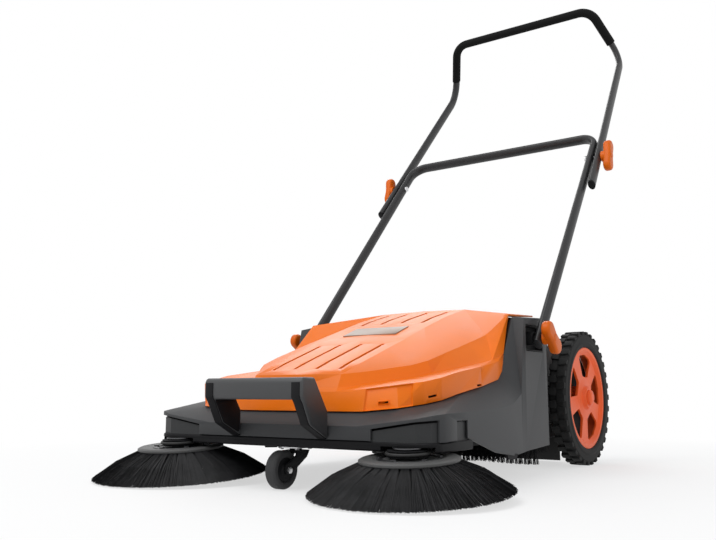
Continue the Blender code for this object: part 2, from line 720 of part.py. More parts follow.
def make_side_brush(name, side):
    """A side brush: disc, flared bristles, pulley and bolts, with the fixed spindle it runs on."""
    foot, axis = brush_foot(side), brush_axis()
    low = BRUSH_DISC_LOW
    rim = low + BRUSH_DISC_RIM
    bore = SPINDLE_RADIUS + GAP
    profile = [
        (bore, low + 0.0067), (0.0145, low + 0.0067), (0.0165, low + BRUSH_DISC_FLOOR),
        (0.050, low + BRUSH_DISC_FLOOR), (0.054, rim), (BRUSH_DISC_RADIUS, rim), (BRUSH_DISC_RADIUS, low),
        (0.0145, low), (0.0145, low - 0.006), (bore, low - 0.006),
    ]
    disc = turned(profile, foot, axis, 24)
    finish("side_brush_disc_" + name, disc, "disc_grey", foot)
    finish("side_brush_bristles_" + name, make_bristle_skirt(foot, axis, low - GAP), "bristle", foot)
    pulley = grooved_pulley(BRUSH_PULLEY_RADIUS, bore, foot, axis, BRUSH_PULLEY_LOW, 16)
    finish("side_brush_pulley_" + name, pulley, "black_plastic", foot)
    seat = low + BRUSH_DISC_FLOOR + GAP
    clamp = ring(BOLT_CIRCLE - 0.0035, BOLT_CIRCLE + 0.0035, foot, axis, seat, seat + 0.0012, 12)
    across = X_AXIS
    ahead = axis.cross(across)
    heads = []
    for k in range(6):
        angle = math.tau * (k + 0.5) / 6
        spot = foot + (across * math.cos(angle) + ahead * math.sin(angle)) * BOLT_CIRCLE
        heads.append(bolt_head(spot + axis * (seat + 0.0004), axis, 0.0045, 0.0028))
    finish("side_brush_clamp_" + name, join(clamp, *heads), "steel", foot)
    flange = SPINDLE_FLANGE_LOW
    spindle = [
        (0.0, SPINDLE_TOP), (SPINDLE_RADIUS, SPINDLE_TOP), (SPINDLE_RADIUS, flange + SPINDLE_FLANGE),
        (SPINDLE_FLANGE_RADIUS, flange + SPINDLE_FLANGE), (SPINDLE_FLANGE_RADIUS, flange),
        (SPINDLE_RADIUS, flange), (SPINDLE_RADIUS, low - 0.006 - GAP), (0.012, low - 0.006 - GAP),
        (0.012, low - 0.010), (0.0, low - 0.010),
    ]
    finish("brush_spindle_" + name, turned(spindle, foot, axis, 14, closed=False), "steel")


def make_bristle_skirt(foot, axis, top):
    """A flared skirt of tufts: a fluted cone that is hollow below."""
    placing = standing_on(foot, axis)
    rows = []
    levels = [
        (0.0515, top - 0.010, 0.0), (0.0515, top, 0.0), (BRUSH_DISC_RADIUS - 0.003, top, 0.0),
        (BRUSH_DISC_RADIUS + 0.005, top - 0.008, 0.04), (BRUSH_TIP_RADIUS - 0.002, 0.004, 0.055),
        (BRUSH_TIP_RADIUS, 0.0, 0.055), (0.122, 0.0, 0.02),
    ]
    count = 2 * BRUSH_TUFTS
    for radius, height, flute in levels:
        row = []
        for k in range(count):
            reach = radius * (1 - flute * (k % 2))
            angle = math.tau * k / count
            row.append(placing @ Vector((reach * math.cos(angle), reach * math.sin(angle), height)))
        rows.append(row)
    return loft(rows, close_rows=True, close_ends=True)


def grooved_pulley(pitch_radius, bore, origin, axis, low, segments, boss=None):
    """A pulley for a round belt, whose centre line runs at the pitch radius; a boss is (radius, its end)."""
    high = low + PULLEY_WIDTH
    middle = (low + high) / 2
    lip = pitch_radius - 0.0012
    floor = 0.983 * pitch_radius - BELT_RADIUS - GAP
    inside = [(bore, boss[1]), boss, (boss[0], high)] if boss else [(bore, high)]
    profile = inside + [
        (lip, high), (lip, high - 0.0008), (floor, middle + 0.0016), (floor, middle - 0.0016),
        (lip, low + 0.0008), (lip, low), (bore, low),
    ]
    return turned(profile, origin, axis, segments)


def make_belt(name, side):
    """The round belt: from the wheel pulley's top past the guide pin to the brush's outer side, and back."""
    points = []
    centre = Vector((side * WHEEL_PULLEY_X, AXLE.y, AXLE.z))
    for k in range(11):
        angle = math.radians(-95 + 19 * k)
        offset = Vector((0.0, math.cos(angle), math.sin(angle))) * WHEEL_PULLEY_RADIUS
        points.append(centre + offset)
    axis = brush_axis()
    hub = brush_foot(side) + axis * (BRUSH_PULLEY_LOW + PULLEY_WIDTH / 2)
    ahead = axis.cross(X_AXIS)
    turn = []
    for k in range(11):
        angle = math.radians(185 - 19 * k)
        offset = (-side * X_AXIS * math.cos(angle) - ahead * math.sin(angle)) * BRUSH_PULLEY_RADIUS
        turn.append(hub + offset)
    start, end = points[-1], turn[0]
    guide = start.lerp(end, (GUIDE_Y - start.y) / (end.y - start.y))
    guide.x = side * GUIDE_BELT_X
    for k in (1, 0, -1):
        near = guide.copy()
        near.y += k * 0.006
        near.x += side * abs(k) * 0.0003
        points.append(near)
    points += turn
    finish("belt_" + name, closed_tube(points, BELT_RADIUS), "rubber")


def closed_tube(points, radius):
    """A round tube through points that close into a loop."""
    curve = bpy.data.curves.new("loop", "CURVE")
    curve.dimensions = "3D"
    curve.bevel_depth = radius
    curve.bevel_resolution = 1
    spline = curve.splines.new("POLY")
    spline.points.add(len(points) - 1)
    for spot, point in zip(spline.points, points):
        spot.co = (*point, 1.0)
    spline.use_cyclic_u = True
    loop = bpy.data.objects.new("loop", curve)
    parts.objects.link(loop)
    return applied(loop)


def make_belt_guide():
    """The steel bar across the beam, with an arm and a pin at each end that lead the belts."""
    pin_x = GUIDE_BELT_X + BELT_RADIUS + GAP + GUIDE_PIN_RADIUS
    low = BEAM_TOP_Z + GAP
    high = low + 0.003
    front = FRONT_Y + 0.008
    bar = box((-pin_x, front, low), (pin_x, front + 0.018, high))
    arm_x = GUIDE_BELT_X + 0.010
    arms = []
    for _, side in BOTH_SIDES:
        inner = (arm_x - GUIDE_ARM_WIDTH, front + 0.001, low - 0.0001)
        arms.append(side_box(side, inner, (arm_x, GUIDE_Y, high + 0.0001)))
        spot = (side * pin_x, GUIDE_Y, 0.0)
        arms.append(rod(GUIDE_EYE_RADIUS, spot, Z_AXIS, low, high, 14))
        arms.append(rod(GUIDE_PIN_RADIUS, spot, Z_AXIS, low + 0.001, GUIDE_PIN_TOP, 12))
    finish("belt_guide", join(bar, *arms), "steel")


def gear_outline(teeth, centre, tooth_angle):
    """A spur gear's outline: straight flanks between the involute's widths at root and tip."""
    pitch = GEAR_MODULE * teeth / 2
    base = pitch * math.cos(PRESSURE_ANGLE)

    def involute(angle):
        return math.tan(angle) - angle

    def half_tooth(radius):
        at = math.acos(min(1.0, base / radius))
        on_pitch = math.pi / (2 * teeth) - TOOTH_BACKLASH / (2 * pitch)
        return on_pitch + involute(PRESSURE_ANGLE) - involute(at)

    tip = pitch + 0.95 * GEAR_MODULE
    root = pitch - 1.2 * GEAR_MODULE
    outline = []
    for k in range(teeth):
        middle = tooth_angle + math.tau * k / teeth
        flank = [(root, -half_tooth(max(root, base))), (tip, -half_tooth(tip))]
        for radius, turn in flank + [(r, -t) for r, t in reversed(flank)]:
            angle = middle + turn
            outline.append((centre.y + radius * math.cos(angle), centre.z + radius * math.sin(angle)))
    return outline


def make_gear(teeth, centre, tooth_angle, bore):
    """A spur gear on the left end, in the plane between the cheek and the wheel."""
    outline = gear_outline(teeth, centre, tooth_angle)
    wheel = prism(outline, "X", -GEAR_FACE_X - GEAR_WIDTH, -GEAR_FACE_X)
    return cut(wheel, rod(bore, centre, X_AXIS, -0.25, -0.19, 16))


def make_roller():
    """The main brush across the body, with its bearings and the pinion that turns it."""
    half = ROLLER_HALF_LENGTH
    core = ROLLER_CORE_RADIUS
    shaft = ROLLER_SHAFT_RADIUS
    left_end = -GEAR_FACE_X - GEAR_WIDTH - 0.0015
    profile = [
        (0.0, BEARING_OUTER_X), (shaft, BEARING_OUTER_X), (shaft, half + 0.004), (core + 0.006, half + 0.004),
        (core + 0.006, half + GAP), (core, half + GAP), (core, -half - GAP), (core + 0.006, -half - GAP),
        (core + 0.006, -half - 0.004), (shaft, -half - 0.004), (shaft, left_end), (0.0, left_end),
    ]
    finish("roller_core", turned(profile, ROLLER, X_AXIS, 16, closed=False), "orange", ROLLER)
    rows = []
    stations = 7
    count = 2 * ROLLER_FLUTES
    for radius, flute in ((core + 0.0016, 0.0), (ROLLER_TIP_RADIUS, 0.09)):
        lane = []
        for i in range(stations):
            x = -half + 2 * half * i / (stations - 1)
            twist = math.radians(50) * (abs(x) / half)
            row = []
            for k in range(count):
                reach = radius * (1 - flute * (k % 2))
                angle = twist + math.tau * k / count
                row.append(ROLLER + Vector((x, reach * math.cos(angle), reach * math.sin(angle))))
            lane.append(row)
        rows.append(lane)
    bristles = loft(rows[1] + rows[0][::-1], close_rows=True, close_ends=True)
    finish("roller_bristles", bristles, "bristle", ROLLER)
    towards = math.atan2(ROLLER.z - AXLE.z, ROLLER.y - AXLE.y)
    pinion_angle = towards + math.pi + math.pi / PINION_TEETH
    pinion = make_gear(PINION_TEETH, ROLLER, pinion_angle, shaft + GAP)
    finish("roller_pinion", pinion, "steel", ROLLER)
    gear = make_gear(WHEEL_GEAR_TEETH, AXLE, towards, AXLE_RADIUS + GAP)
    finish("wheel_gear", gear, "black_plastic", AXLE)
    inner, outer = BEARING_INNER_X, BEARING_OUTER_X
    for name, side in BOTH_SIDES:
        low, high = sorted((side * inner, side * outer))
        bearing = ring(shaft + GAP, BEARING_RADIUS, ROLLER, X_AXIS, low, high)
        finish("roller_bearing_" + name, bearing, "steel")
        bush = ring(AXLE_RADIUS + GAP, BUSH_RADIUS, AXLE, X_AXIS, low, high)
        finish("axle_bush_" + name, bush, "brass")


def make_wheel(name, side):
    """A rear wheel: tyre, five-spoke rim, belt pulley and hub cap."""
    centre = Vector((side * WHEEL_X, AXLE.y, AXLE.z))
    outward = side * X_AXIS
    half = TYRE_WIDTH / 2
    tread = [
        (RIM_RADIUS, half - 0.0025), (RIM_RADIUS + 0.008, half), (WHEEL_RADIUS - 0.008, half),
        (WHEEL_RADIUS, half - 0.009),
    ]
    profile = tread + [(radius, -height) for radius, height in reversed(tread)]
    finish("tyre_" + name, turned(profile, centre, outward, RIM_SEGMENTS), "tyre", AXLE)
    bore = AXLE_RADIUS + GAP
    edge = RIM_RADIUS - GAP
    profile = [
        (bore, half + 0.001), (HUB_RADIUS - 0.002, half + 0.001), (HUB_RADIUS + 0.002, half - 0.007),
        (SPOKE_WINDOW_OUTER, half - 0.009), (edge - 0.007, half - 0.003), (edge, half - 0.003),
        (edge, 0.003 - half), (edge - 0.006, 0.003 - half), (SPOKE_WINDOW_OUTER + 0.005, 0.001),
        (HUB_RADIUS, 0.002), (HUB_RADIUS, 0.004 - half), (bore, 0.004 - half),
    ]
    rim = turned(profile, centre, outward, RIM_SEGMENTS)
    windows = [spoke_window(side, k) for k in range(SPOKES)]
    finish("rim_" + name, cut(rim, *windows), "rim_orange", AXLE)
    low = WHEEL_PULLEY_X - PULLEY_WIDTH / 2
    boss = (0.018, WHEEL_X + 0.004 - half - GAP)
    pulley = grooved_pulley(WHEEL_PULLEY_RADIUS, bore, AXLE, outward, low, 20, boss)
    finish("wheel_pulley_" + name, pulley, "black_plastic", AXLE)
    face = WHEEL_X + half + 0.001
    end = AXLE_HALF_LENGTH + GAP
    profile = [
        (0.0, face + 0.008), (HUB_CAP_RADIUS - 0.006, face + 0.0075), (HUB_CAP_RADIUS - 0.001, face + 0.004),
        (HUB_CAP_RADIUS, face + GAP), (bore, face + GAP), (bore, end), (0.0, end),
    ]
    finish("hub_cap_" + name, turned(profile, AXLE, outward, 16, closed=False), "black_plastic", AXLE)


def spoke_window(side, index):
    """A cutter for one opening between two spokes, wider towards the tyre."""
    middle = SPOKE_PHASE + math.tau * (index + 0.5) / SPOKES
    half = SPOKE_WINDOW_ANGLE / 2
    inner = [(SPOKE_WINDOW_INNER + 0.003, -half * 0.84), (SPOKE_WINDOW_INNER, 0.0)]
    inner.append((SPOKE_WINDOW_INNER + 0.003, half * 0.84))
    outer = [(SPOKE_WINDOW_OUTER - 0.005, half)] + [(SPOKE_WINDOW_OUTER, half * t) for t in (0.8, 0.0, -0.8)]
    outer.append((SPOKE_WINDOW_OUTER - 0.005, -half))
    outline = []
    for radius, turn in inner + outer:
        angle = middle + turn
        outline.append((AXLE.y + radius * math.cos(angle), AXLE.z + radius * math.sin(angle)))
    low, high = sorted((side * (WHEEL_X - 0.03), side * (WHEEL_X + 0.03)))
    return prism(outline, "X", low, high)


def make_axle():
    """The fixed axle through both wheels."""
    axle = rod(AXLE_RADIUS, AXLE, X_AXIS, -AXLE_HALF_LENGTH, AXLE_HALF_LENGTH, 20)
    finish("axle", axle, "steel")


def make_carry_handle():
    """The loop across the front that the sweeper is lifted by."""
    back = FRONT_Y - GAP
    top = CARRY_TOP_Z
    profile = [
        (back, 0.0815), (back, 0.122), (back - 0.033, top), (back - 0.061, top),
        (back - 0.065, top - 0.006),
        (back - 0.065, top - CARRY_BAR + 0.004), (back - 0.058, top - CARRY_BAR - 0.006), (back - 0.042, 0.103),
    ]
    loop = prism(profile, "X", -CARRY_HALF_WIDTH, CARRY_HALF_WIDTH)
    inside = CARRY_HALF_WIDTH - CARRY_ARM
    finger_gap = box((-inside, back - 0.12, 0.04), (inside, back + 0.05, top - CARRY_BAR))
    finish("carry_handle", cut(softened(loop, 0.0025), finger_gap), "shell_grey")


def make_caster():
    """The front caster: plate, swivelling fork, axle bolt and wheel."""
    top = BEAM_BOTTOM_Z - GAP
    plate = rod(CASTER_PLATE_RADIUS, (0.0, CASTER_Y, 0.0), Z_AXIS, top - CASTER_PLATE, top, 20)
    heads = []
    for k in range(4):
        angle = math.radians(45 + 90 * k)
        across, ahead = 0.023 * math.cos(angle), 0.023 * math.sin(angle)
        spot = Vector((across, CASTER_Y + ahead, top - CASTER_PLATE + 0.001))
        heads.append(bolt_head(spot, -Z_AXIS, 0.0038, 0.0036))
    finish("caster_plate", join(plate, *heads), "steel")
    swivel = Vector((0.0, CASTER_Y, 0.0))
    wheel_y = CASTER_Y - CASTER_TRAIL
    boss_top = top - CASTER_PLATE - RUNNING_GAP
    crown_top = boss_top - FORK_DROP
    crown = rod(0.0165, swivel, Z_AXIS, crown_top - 0.0045, crown_top, 16)
    boss = rod(0.0100, swivel, Z_AXIS, crown_top - 0.002, boss_top, 12)
    inner = CASTER_WIDTH / 2 + FORK_GAP
    arm_profile = [
        (CASTER_Y - 0.016, crown_top - 0.0002), (CASTER_Y - 0.016, 0.052), (wheel_y - 0.006, 0.038),
        (wheel_y - 0.0085, CASTER_RADIUS), (wheel_y - 0.006, CASTER_RADIUS - 0.006),
        (wheel_y, CASTER_RADIUS - 0.0085), (wheel_y + 0.007, CASTER_RADIUS - 0.0055),
        (CASTER_Y + 0.010, 0.048), (CASTER_Y + 0.017, crown_top - 0.0002),
    ]
    arms = [prism(arm_profile, "X", s * inner, s * (inner + FORK_PLATE)) for s in (-1, 1)]
    half = inner + 0.0005
    bridge = box((-half, CASTER_Y - 0.0155, crown_top - 0.004), (half, CASTER_Y + 0.016, crown_top - 0.0001))
    fork = join(bridge, crown, boss, *arms)
    hole = rod(0.0033, (0.0, wheel_y, CASTER_RADIUS), X_AXIS, -0.03, 0.03, 12)
    finish("caster_fork", cut(fork, hole), "black_plastic", swivel)
    hub = Vector((0.0, wheel_y, CASTER_RADIUS))
    half = CASTER_WIDTH / 2
    tread = [
        (0.019, half - 0.001), (CASTER_RADIUS - 0.003, half), (CASTER_RADIUS, half - 0.003),
        (CASTER_RADIUS, 0.003 - half), (CASTER_RADIUS - 0.003, -half), (0.019, 0.001 - half),
    ]
    finish("caster_tyre", turned(tread, hub, X_AXIS, 24), "caster_grey", hub)
    profile = [
        (0.0033, half), (0.008, half), (0.010, half - 0.003), (0.0187, half - 0.0025),
        (0.0187, 0.0025 - half), (0.010, 0.003 - half), (0.008, -half), (0.0033, -half),
    ]
    finish("caster_hub", turned(profile, hub, X_AXIS, 16), "black_plastic", hub)
    reach = inner + FORK_PLATE + GAP
    bolt = join(rod(0.003, hub, X_AXIS, -reach - 0.001, reach + 0.001, 12), *[
        turned([(0.0, reach + 0.003), (0.0055, reach + 0.003), (0.0055, reach), (0.0, reach)],
               hub, s * X_AXIS, 6, closed=False)
        for s in (-1, 1)
    ])
    finish("caster_bolt", bolt, "steel", swivel)


def make_bracket(name, side):
    """The black cup in the housing's side that carries a leg of the handle."""
    reach, height = BRACKET_REACH, BRACKET_HALF_HEIGHT
    low = (BRACKET_INNER_X, PIVOT_Y - reach + 0.0145, PIVOT_Z - height)
    high = (BRACKET_FACE_X, PIVOT_Y + reach, PIVOT_Z + height)
    cup = side_box(side, low, high)
    wall = 0.003
    floor = BRACKET_INNER_X + BRACKET_FLOOR
    room = side_box(
        side, (floor, low[1] + wall, low[2] + wall), (BRACKET_FACE_X + 0.02, high[1] - wall, high[2] - wall)
    )
    cup = cut(cup, room)
    pivot = Vector((0.0, PIVOT_Y, PIVOT_Z))
    face = LOWER_LEG_X - TUBE_HALF_WIDTH - RUNNING_GAP
    boss = rod(0.0125, pivot, side * X_AXIS, floor - 0.001, face, 14)
    cup = cut(join(cup, boss), rod(PIVOT_BOLT_RADIUS + GAP, pivot, side * X_AXIS, floor - 0.002, 0.30, 10))
    finish("handle_bracket_" + name, cup, "black_plastic")


def make_lower_handle():
    """The lower frame: two legs and a crossbar bent from one oval tube, with its end plugs."""
    slope = (CROSSBAR_X - LOWER_LEG_X) / CROSSBAR_REACH
    tail_x = LOWER_LEG_X - slope * LOWER_TAIL
    corners = [
        on_leg(tail_x, -LOWER_TAIL), on_leg(CROSSBAR_X, CROSSBAR_REACH),
        on_leg(-CROSSBAR_X, CROSSBAR_REACH), on_leg(-tail_x, -LOWER_TAIL),
    ]
    path = [point for point, _, _ in rounded_path(corners, [CROSSBAR_CORNER] * 2)]
    tube = sweep(path, [ALONG_LEG] * len(path), TUBE_HALF_WIDTH, TUBE_HALF_DEPTH, tube_bore())
    pivot = Vector((0.0, PIVOT_Y, PIVOT_Z))
    clamp = on_leg(0.0, CLAMP_REACH)
    holes = [
        rod(PIVOT_BOLT_RADIUS + GAP, pivot, X_AXIS, -0.30, 0.30, 10),
        rod(PIVOT_BOLT_RADIUS + GAP, clamp, X_AXIS, -0.30, 0.30, 10),
    ]
    finish("lower_handle", cut(tube, *holes), "tube_grey", pivot)
    leg_x = LOWER_LEG_X + slope * CLAMP_REACH
    inner, outer = leg_x + TUBE_HALF_WIDTH + GAP, UPPER_LEG_X - TUBE_HALF_WIDTH - GAP
    head = leg_x - TUBE_HALF_WIDTH - GAP
    end = UPPER_LEG_X + TUBE_HALF_WIDTH + KNOB_BOSS
    for name, side in BOTH_SIDES:
        axis = side * X_AXIS
        spacer = ring(PIVOT_BOLT_RADIUS + GAP, 0.011, clamp, axis, inner + 0.0004, outer - 0.0004)
        finish("clamp_spacer_" + name, spacer, "black_plastic", pivot)
        shank = rod(PIVOT_BOLT_RADIUS, clamp, axis, head - 0.001, end, 10)
        bolt = join(shank, rod(0.0075, clamp, axis, head - 0.004, head - 0.0004, 6))
        finish("clamp_bolt_" + name, bolt, "steel", pivot)


def tube_bore():
    """The half sizes of the handle tube's bore."""
    return TUBE_HALF_WIDTH - TUBE_WALL, TUBE_HALF_DEPTH - TUBE_WALL


def end_plug(end, towards):
    """A plug in the open end of a tube, with a head that covers its rim."""
    along = (towards - end).normalized()
    bore_width, bore_depth = tube_bore()
    outside = [end - along * 0.0035, end - along * GAP]
    inside = [end - along * 0.002, end + along * PLUG_STEM]
    stem = sweep(inside, [ALONG_LEG] * 2, bore_width - GAP, bore_depth - GAP)
    head = sweep(outside, [ALONG_LEG] * 2, TUBE_HALF_WIDTH, TUBE_HALF_DEPTH)
    return join(head, stem)


def make_upper_handle():
    """The upper frame, which leans forward at its grip, with the grip sleeve and end plugs."""
    slope = (BEND_X - UPPER_LEG_X) / (BEND_REACH - CLAMP_REACH)
    start_x = UPPER_LEG_X + slope * (UPPER_START - CLAMP_REACH)
    bend = on_leg(BEND_X, BEND_REACH)
    top = Vector((GRIP_CORNER_X, bend.y, bend.z)) + ALONG_GRIP * GRIP_RISE
    flip = Vector((-1.0, 1.0, 1.0))
    right = [on_leg(start_x, UPPER_START), bend, top]
    corners = right + [point * flip for point in reversed(right)]
    radii = [BEND_RADIUS, GRIP_CORNER_RADIUS, GRIP_CORNER_RADIUS, BEND_RADIUS]
    route = rounded_path(corners, radii)
    path = [point for point, _, _ in route]
    pitches = [grip_pitch(corner, share) for _, corner, share in route]
    tube = sweep(path, pitches, TUBE_HALF_WIDTH, TUBE_HALF_DEPTH, tube_bore())
    clamp = on_leg(0.0, CLAMP_REACH)
    hole = rod(PIVOT_BOLT_RADIUS + GAP, clamp, X_AXIS, -0.32, 0.32, 10)
    finish("upper_handle", cut(tube, hole), "tube_grey", clamp)
    finish("upper_plug_right", end_plug(corners[0], corners[1]), "black_plastic", clamp)
    finish("upper_plug_left", end_plug(corners[5], corners[4]), "black_plastic", clamp)
    grip_path, grip_pitches = grip_stretch(route)
    bore = (TUBE_HALF_WIDTH + GAP, TUBE_HALF_DEPTH + GAP)
    sleeve = sweep(grip_path, grip_pitches, bore[0] + GRIP_WALL, bore[1] + GRIP_WALL, bore)
    finish("grip", sleeve, "grip_foam", clamp)


def grip_pitch(corner, share):
    """The direction that the handle climbs in, at a point of its route."""
    if corner == 0 or corner == 5:
        return ALONG_LEG
    if corner == 1:
        return ALONG_LEG.slerp(ALONG_GRIP, share)
    if corner == 4:
        return ALONG_GRIP.slerp(ALONG_LEG, share)
    return ALONG_GRIP


def grip_stretch(route):
    """The part of the handle's route that the grip covers, from past one bend to the other."""
    inner = [(point, corner) for point, corner, _ in route if corner in (2, 3)]
    start = inner[0][0]
    bend_end = [point for point, corner, share in route if corner == 1 and share == 1.0][0]
    along = (start - bend_end).normalized()
    first = bend_end + along * 0.002
    last = first * Vector((-1.0, 1.0, 1.0))
    points = [first] + [point for point, _ in inner] + [last]
    return points, [ALONG_GRIP] * len(points)


def make_knob(name, side, origin, face_x, lean):
    """A clamp knob with two wings, screwed onto a bolt that stands out sideways."""
    half, lobe, waist = KNOB_HALF_LENGTH, KNOB_LOBE_RADIUS, 0.0115
    outline = []
    for end in (0.0, math.pi):
        for k in range(5):
            angle = math.radians(-90 + 45 * k)
            outline.append((end, angle))
    points = []
    for end, angle in outline:
        across = lobe * math.sin(angle)
        along = half - lobe + lobe * math.cos(angle)
        points.append(turned_point(along, across, end))
        if angle == math.radians(90):
            points.append(turned_point(0.0, waist, end))
    placed = [turned_point(a, b, lean) for a, b in points]
    base = face_x + KNOB_BOSS
    low, high = sorted((side * base, side * (base + KNOB_THICKNESS)))
    spots = [(origin[1] + a, origin[2] + b) for a, b in placed]
    wings = softened(prism(spots, "X", low, high), 0.0025)
    axis = side * X_AXIS
    boss = rod(0.0125, (0.0, origin[1], origin[2]), axis, face_x + 0.0008, base + 0.004, 14)
    centre = (0.0, origin[1], origin[2])
    hole = rod(PIVOT_BOLT_RADIUS + GAP, centre, axis, 0.2, face_x + KNOB_BOSS + 0.0005, 10)
    knob = cut(join(wings, boss), hole)
    finish(name, knob, "orange", (0.0, origin[1], origin[2]))


def turned_point(a, b, angle):
    """A point of a plane turned about its origin."""
    return a * math.cos(angle) - b * math.sin(angle), a * math.sin(angle) + b * math.cos(angle)


def make_pivot_bolts():
    """The bolts that the lower frame folds on."""
    pivot = Vector((0.0, PIVOT_Y, PIVOT_Z))
    start = BRACKET_INNER_X + BRACKET_FLOOR - 0.001
    end = LOWER_LEG_X + TUBE_HALF_WIDTH + KNOB_BOSS
    for name, side in BOTH_SIDES:
        bolt = rod(PIVOT_BOLT_RADIUS, pivot, side * X_AXIS, start, end, 10)
        finish("pivot_bolt_" + name, bolt, "steel")


def make_rear_flap():
    """The rubber strip behind the roller."""
    wall_y = HOUSING_STATIONS[-1][0][1] - HOUSING_WALL - RUNNING_GAP - 0.003
    finish("rear_flap", box((-0.176, wall_y - 0.003, 0.003), (0.176, wall_y, 0.118)), "rubber")


def centre_on_footprint():
    """Move the sweeper so that the middle of its footprint is the origin."""
    ys = [(piece.matrix_world @ vert.co).y for piece in finished for vert in piece.data.vertices]
    middle = (min(ys) + max(ys)) / 2
    for piece in finished:
        piece.location.y -= middle
    bpy.context.view_layer.update()


def build():
    """Make every piece."""
    make_housing()
    make_hopper()
    make_front_beam()
    make_carry_handle()
    for name, side in BOTH_SIDES:
        make_side_brush(name, side)
        make_belt(name, side)
        make_wheel(name, side)
        make_bracket(name, side)
    make_belt_guide()
    make_roller()
    make_axle()
    make_caster()
    make_lower_handle()
    make_upper_handle()
    make_pivot_bolts()
    make_rear_flap()
    across_leg = math.radians(-41)
    pivot = Vector((0.0, PIVOT_Y, PIVOT_Z))
    clamp = on_leg(0.0, CLAMP_REACH)
    for name, side in BOTH_SIDES:
        make_knob("lower_knob_" + name, side, pivot, LOWER_LEG_X + TUBE_HALF_WIDTH, across_leg)
        make_knob("upper_knob_" + name, side, clamp, UPPER_LEG_X + TUBE_HALF_WIDTH, math.radians(80))
    bpy.context.view_layer.update()
    centre_on_footprint()


clear_scene()
materials = {
    "shell_grey": make_material("shell_grey", (0.085, 0.087, 0.092), 0.5),
    "black_plastic": make_material("black_plastic", (0.012, 0.012, 0.013), 0.5),
    "orange": make_material("orange", (0.86, 0.20, 0.02), 0.4),
    "rim_orange": make_material("rim_orange", (0.85, 0.13, 0.03), 0.45),
    "plate_grey": make_material("plate_grey", (0.30, 0.25, 0.22), 0.4),
    "tube_grey": make_material("tube_grey", (0.06, 0.06, 0.065), 0.35, 0.3),
    "disc_grey": make_material("disc_grey", (0.10, 0.10, 0.10), 0.6),
    "tyre": make_material("tyre", (0.015, 0.015, 0.016), 0.8),
    "caster_grey": make_material("caster_grey", (0.08, 0.08, 0.08), 0.7),
    "rubber": make_material("rubber", (0.01, 0.01, 0.01), 0.8),
    "bristle": make_material("bristle", (0.02, 0.02, 0.02), 0.7),
    "grip_foam": make_material("grip_foam", (0.01, 0.01, 0.01), 0.85),
    "steel": make_material("steel", (0.55, 0.55, 0.56), 0.3, 1.0),
    "brass": make_material("brass", (0.60, 0.45, 0.20), 0.35, 1.0),
}
build()
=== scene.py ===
"""Dresses the floor sweeper: smooth shells, bent tubes, bristles, treaded wheels and their finishes."""

import json
import logging
import math
import random
from dataclasses import dataclass
from enum import Enum
from typing import Callable, Iterable, Sequence

import bpy
from mathutils import Matrix, Vector


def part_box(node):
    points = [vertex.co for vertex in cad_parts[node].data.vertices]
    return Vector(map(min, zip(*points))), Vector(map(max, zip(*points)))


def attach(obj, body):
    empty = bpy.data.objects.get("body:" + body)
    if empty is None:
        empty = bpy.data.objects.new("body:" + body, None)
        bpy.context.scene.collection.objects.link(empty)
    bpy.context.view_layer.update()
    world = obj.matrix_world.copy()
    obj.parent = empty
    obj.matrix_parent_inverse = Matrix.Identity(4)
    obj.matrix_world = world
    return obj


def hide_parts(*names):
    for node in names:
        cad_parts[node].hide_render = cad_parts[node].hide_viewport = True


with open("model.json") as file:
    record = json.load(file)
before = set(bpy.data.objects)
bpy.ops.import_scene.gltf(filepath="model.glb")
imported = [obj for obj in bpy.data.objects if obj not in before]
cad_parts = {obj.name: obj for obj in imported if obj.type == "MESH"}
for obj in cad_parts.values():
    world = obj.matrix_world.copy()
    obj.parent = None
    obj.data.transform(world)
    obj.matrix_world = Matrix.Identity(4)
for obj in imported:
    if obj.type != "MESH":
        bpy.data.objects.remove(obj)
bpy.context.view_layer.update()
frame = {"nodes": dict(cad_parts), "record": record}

logging.basicConfig(level=logging.INFO, format="%(message)s")
log = logging.getLogger("sweeper")

X_AXIS = Vector((1.0, 0.0, 0.0))
Z_AXIS = Vector((0.0, 0.0, 1.0))
AXLE_Y = (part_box("axle")[0].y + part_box("axle")[1].y) / 2
BODY_OF = {
    node: body for body, nodes in frame["record"]["behaviour"]["bodies"].items() for node in nodes
}

# Half the width of every belt pulley
PULLEY_HALF = 0.00475
# The rear axle's height, which is also the rear wheels' radius
AXLE_Z = 0.140
# Half of the angle, in radians, from which a corner counts as straight
STRAIGHT = 1.55

Outline = Sequence[tuple[float, float]]


class Side(Enum):
    """The two sides of the sweeper, as seen by someone who faces its front."""

    LEFT = -1
    RIGHT = 1

    @property
    def word(self) -> str:
        """The side's name as the nodes spell it."""
        return self.name.lower()

    @property
    def outward(self) -> Vector:
        """The direction that points away from the middle."""
        return X_AXIS * self.value


def spot(x: float, y: float, z: float) -> Vector:
    """A point whose Y is given from the rear axle."""
    return Vector((x, y + AXLE_Y, z))


class Signal:
    """A shader value or colour that can be written in ordinary maths."""

    def __init__(self, graph: "Graph", socket: bpy.types.NodeSocket) -> None:
        """Wrap an output socket of one graph."""
        self.graph = graph
        self.socket = socket

    def _maths(self, operation: str, other: object) -> "Signal":
        """Add a Math node for this value and another, or a number."""
        return self.graph.node("ShaderNodeMath", {"operation": operation}, self, other)

    def __add__(self, other: object) -> "Signal":
        """The sum of two values."""
        return self._maths("ADD", other)

    def __sub__(self, other: object) -> "Signal":
        """The difference of two values."""
        return self._maths("SUBTRACT", other)

    def __mul__(self, other: object) -> "Signal":
        """The product of two values."""
        return self._maths("MULTIPLY", other)

    def either(self, other: "Signal") -> "Signal":
        """The larger of two values."""
        return self._maths("MAXIMUM", other)


